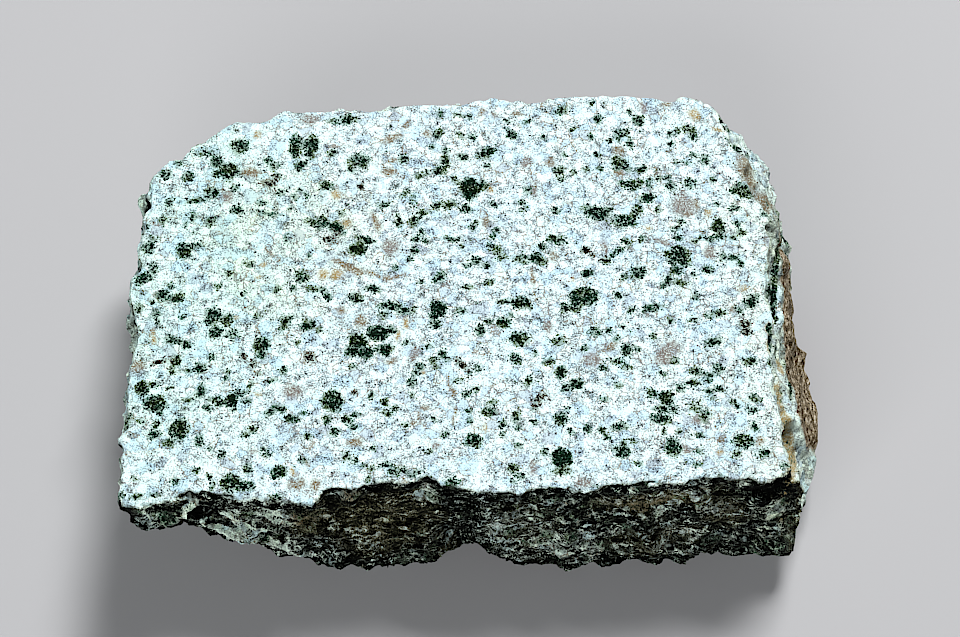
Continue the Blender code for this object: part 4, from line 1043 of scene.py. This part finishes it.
def film_and_shade_group():
    """A weathered film, on the front partly painted shade: streaky along the slab, with pale flecks left
    where it has come off.
    """
    sheet, given, out = new_group(
        "Weathered film and painted shade",
        (
            ("Spot", "Vector", None), ("Cover", "Float", 0.0), ("Bare", "Float", 0.3),
            ("Olive", "Float", 0.0), ("Fine", "Float", 0.5),
        ),
        (("Mask", "Float"), ("Colour", "Color"), ("Streak", "Float")),
    )
    streaked = sheet.add("Mapping", {"Vector": given["Spot"], "Scale": (0.4, 0.6, 1.0)}).outputs[0]
    streak = sheet.noise(streaked, 0.62, 3.0, 0.85, 0.5)
    broad = sheet.noise(given["Spot"], 3.5, 2.0, 0.6)
    level = sheet.plus(sheet.times(streak, 1.0), sheet.times(given["Fine"], 0.6))
    level = sheet.plus(level, sheet.scaled(broad, 0.2, -0.40))
    kept = sheet.math("SUBTRACT", sheet.scaled(given["Bare"], -0.40, 0.69), level)
    sheet.feed(out["Streak"], streak)
    sheet.feed(out["Mask"], sheet.times(given["Cover"], sheet.ramp(kept, -0.02, 0.015)))
    # Painted shade: the film's darkest tones, near black, stand in for the front's shadow.
    cold = sheet.steps(kept, (
        (0.0, (0.16, 0.19, 0.15)),
        (0.16, (0.0002, 0.0004, 0.0002)),
        (0.035, (0.024, 0.032, 0.023)),
        (0.080, (0.0025, 0.004, 0.0025)),
    ))
    olive = sheet.steps(kept, (
        (0.0, (0.28, 0.26, 0.16)),
        (0.24, (0.001, 0.001, 0.0005)),
        (0.06, (0.070, 0.070, 0.036)),
        (0.13, (0.010, 0.012, 0.006)),
    ))
    sheet.feed(out["Colour"], sheet.mix(given["Olive"], cold, olive))
    return sheet.tree


def tan_face_group():
    """The tan weathered face on the right: fine slanting hatch with darker pits."""
    sheet, given, out = new_group(
        "Tan face",
        (("Spot", "Vector", None), ("Fine", "Float", 0.5)),
        (("Colour", "Color"),),
    )
    slanted = {"Vector": given["Spot"], "Rotation": (0.7, 0.0, 0.0), "Scale": (1.0, 0.4, 1.2)}
    hatch = sheet.noise(sheet.add("Mapping", slanted).outputs[0], 0.45, 2.0, 0.7, 0.3)
    level = sheet.plus(sheet.times(hatch, 0.6), sheet.times(given["Fine"], 0.4))
    sheet.feed(out["Colour"], sheet.steps(level, (
        (0.41, (0.018, 0.010, 0.004)),
        (0.65, (0.72, 0.67, 0.56)),
        (0.475, (0.105, 0.078, 0.042)),
        (0.55, (0.33, 0.27, 0.18)),
    )))
    return sheet.tree


def stone_material():
    """Monzonite: pale grains and fine speckle, partly painted shade, with dark clusters, stains, and
    weathered films that on the front are partly painted shade.
    """
    material = bpy.data.materials.new("Monzonite")
    material.use_nodes = True
    sheet = Sheet(material.node_tree)
    shader = material.node_tree.nodes["Principled BSDF"].inputs
    where = sheet.add("TexCoord").outputs["Object"]
    spot = sheet.add("Mapping", {"Vector": where, "Scale": (1000.0, 1000.0, 1000.0)}).outputs[0]

    def value(name):
        return sheet.add("Attribute", attribute_name=name).outputs["Fac"]

    def group(tree, **inputs):
        return sheet.add("Group", node_tree=tree, inputs={"Spot": spot, **inputs}).outputs

    ground = group(pale_ground_group())
    colour = sheet.mix(value("tone_warm"), ground["Colour"], (1.0, 0.96, 0.87), "MULTIPLY")
    colour = sheet.mix(value("tone_green"), colour, (0.92, 1.0, 0.93), "MULTIPLY")
    # Stains and off-colour grains, hatched by the fine speckle.
    hatch = sheet.ramp(ground["Fine"], 0.38, 0.52)
    for name, tint, strength in (
        ("pink_cover", (0.175, 0.145, 0.125), 0.9),
        ("brown_cover", (0.16, 0.115, 0.06), 0.95),
        ("ochre_cover", (0.33, 0.24, 0.09), 0.9),
    ):
        cover = sheet.times(value(name), sheet.scaled(hatch, 0.65 * strength, 0.35 * strength))
        colour = sheet.mix(cover, colour, tint)
    # Dark clusters, with grey-green gaps, and loose grains gathered in drifts.
    drift = sheet.scaled(ground["Veil"], 3.4, -2.75)
    depth = sheet.math("MAXIMUM", value("dark_depth"), drift)
    gaps = sheet.ramp(depth, -0.3, 0.6, 0.0, 0.72)
    colour = sheet.mix(gaps, colour, (0.205, 0.315, 0.25))
    patch = group(dark_grain_group(), Depth=depth, Brown=value("dark_brown"), Fine=ground["Fine"])
    colour = sheet.mix(patch["Mask"], colour, patch["Colour"])
    # Films on the broken sides: weathering, and on the front partly painted shade, with a warmer tint
    # beneath.
    cover = value("film_and_shade_cover")
    film = group(
        film_and_shade_group(), Cover=cover, Bare=value("film_and_shade_bare"), Olive=value("film_and_shade_olive"),
        Fine=ground["Fine"],
    )
    colour = sheet.mix(sheet.times(cover, 0.9), colour, (1.0, 0.95, 0.79), "MULTIPLY")
    colour = sheet.mix(film["Mask"], colour, film["Colour"])
    tan = group(tan_face_group(), Fine=ground["Fine"])
    colour = sheet.mix(value("tan_film"), colour, tan["Colour"])
    sheet.feed(shader["Base Color"], colour)
    sheet.feed(shader["Roughness"], sheet.scaled(patch["Mask"], -0.15, 0.8))
    shader["Specular IOR Level"].default_value = 0.04
    streaks = sheet.times(film["Streak"], sheet.times(cover, 5.0))
    height = sheet.plus(sheet.times(ground["Height"], sheet.scaled(cover, 1.0, 1.0)), streaks)
    bump = {"Strength": 0.8, "Distance": 0.09 * MM, "Height": height}
    sheet.feed(shader["Normal"], sheet.add("Bump", bump).outputs["Normal"])
    return material


def build_stone():
    """Shape the stone's surface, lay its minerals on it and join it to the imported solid."""
    stone = even_skin()
    sharpen_edges(stone)
    work_relief(stone)
    thin_out(stone)
    press_rest_face(stone)
    map_minerals(stone)
    lay_bake_map(stone)
    stone.data.materials.clear()
    stone.data.materials.append(stone_material())
    only(stone)
    bpy.ops.object.shade_smooth_by_angle(angle=math.radians(38.0))
    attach(stone, "root")
    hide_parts("monzonite")
    return stone


def place_camera():
    """The camera of the view at the top, turned on the stone."""
    data = bpy.data.cameras.new("Camera")
    data.lens = CAMERA_LENS
    data.sensor_width = 36.0
    data.clip_start = 0.01
    camera = bpy.data.objects.new("Camera", data)
    bpy.context.scene.collection.objects.link(camera)
    back = Vector((0.0, -math.cos(CAMERA_ELEVATION), math.sin(CAMERA_ELEVATION)))
    camera.location = CAMERA_TARGET + CAMERA_DISTANCE * back
    camera.rotation_euler = (math.pi / 2 - CAMERA_ELEVATION, 0.0, 0.0)
    bpy.context.scene.camera = camera


def place_lamp(name, place, size, power, colour):
    """A square soft lamp that faces the stone."""
    data = bpy.data.lights.new(name, "AREA")
    data.shape = "SQUARE"
    data.size = size
    data.energy = power
    data.color = colour
    lamp = bpy.data.objects.new(name, data)
    bpy.context.scene.collection.objects.link(lamp)
    lamp.location = place
    lamp.rotation_euler = (Vector((0.0, 0.0, 0.015)) - Vector(place)).to_track_quat("-Z", "Y").to_euler()


def light_the_room():
    """A key lamp from the back, a wide fill lamp from the front and a faint sky."""
    place_lamp("Key lamp", (0.25, 0.55, 0.95), 0.35, 15.2, (1.0, 1.0, 1.0))
    place_lamp("Fill lamp", (-0.35, -0.95, 0.45), 0.8, 9.0, (1.0, 1.0, 1.0))
    world = bpy.data.worlds.new("Studio")
    bpy.context.scene.world = world
    world.use_nodes = True
    sky = world.node_tree.nodes["Background"]
    sky.inputs["Color"].default_value = (0.9, 0.95, 1.0, 1.0)
    sky.inputs["Strength"].default_value = 0.12


def lay_floor():
    """A pale floor for the view only."""
    bpy.ops.object.select_all(action="DESELECT")
    bpy.ops.mesh.primitive_plane_add(size=4.0, location=(0.0, 0.0, 0.0))
    floor = bpy.context.active_object
    floor.name = "floor"
    material = bpy.data.materials.new("Pale floor")
    material.use_nodes = True
    shader = material.node_tree.nodes["Principled BSDF"]
    shader.inputs["Base Color"].default_value = (0.42, 0.42, 0.43, 1.0)
    shader.inputs["Roughness"].default_value = 0.9
    floor.data.materials.append(material)


def set_tones():
    """Plain tones, and a light sharpening of the picture as in the photograph."""
    scene = bpy.context.scene
    view = scene.view_settings
    view.view_transform = "Standard"
    view.look = "None"
    view.exposure = 0.0
    scene.use_nodes = True
    nodes, links = scene.node_tree.nodes, scene.node_tree.links
    nodes.clear()
    rendered = nodes.new("CompositorNodeRLayers")
    sharpened = nodes.new("CompositorNodeFilter")
    sharpened.filter_type = "SHARPEN"
    sharpened.inputs["Fac"].default_value = SHARPENING
    links.new(rendered.outputs["Image"], sharpened.inputs["Image"])
    links.new(sharpened.outputs["Image"], nodes.new("CompositorNodeComposite").inputs["Image"])


build_stone()
place_camera()
light_the_room()
lay_floor()
set_tones()
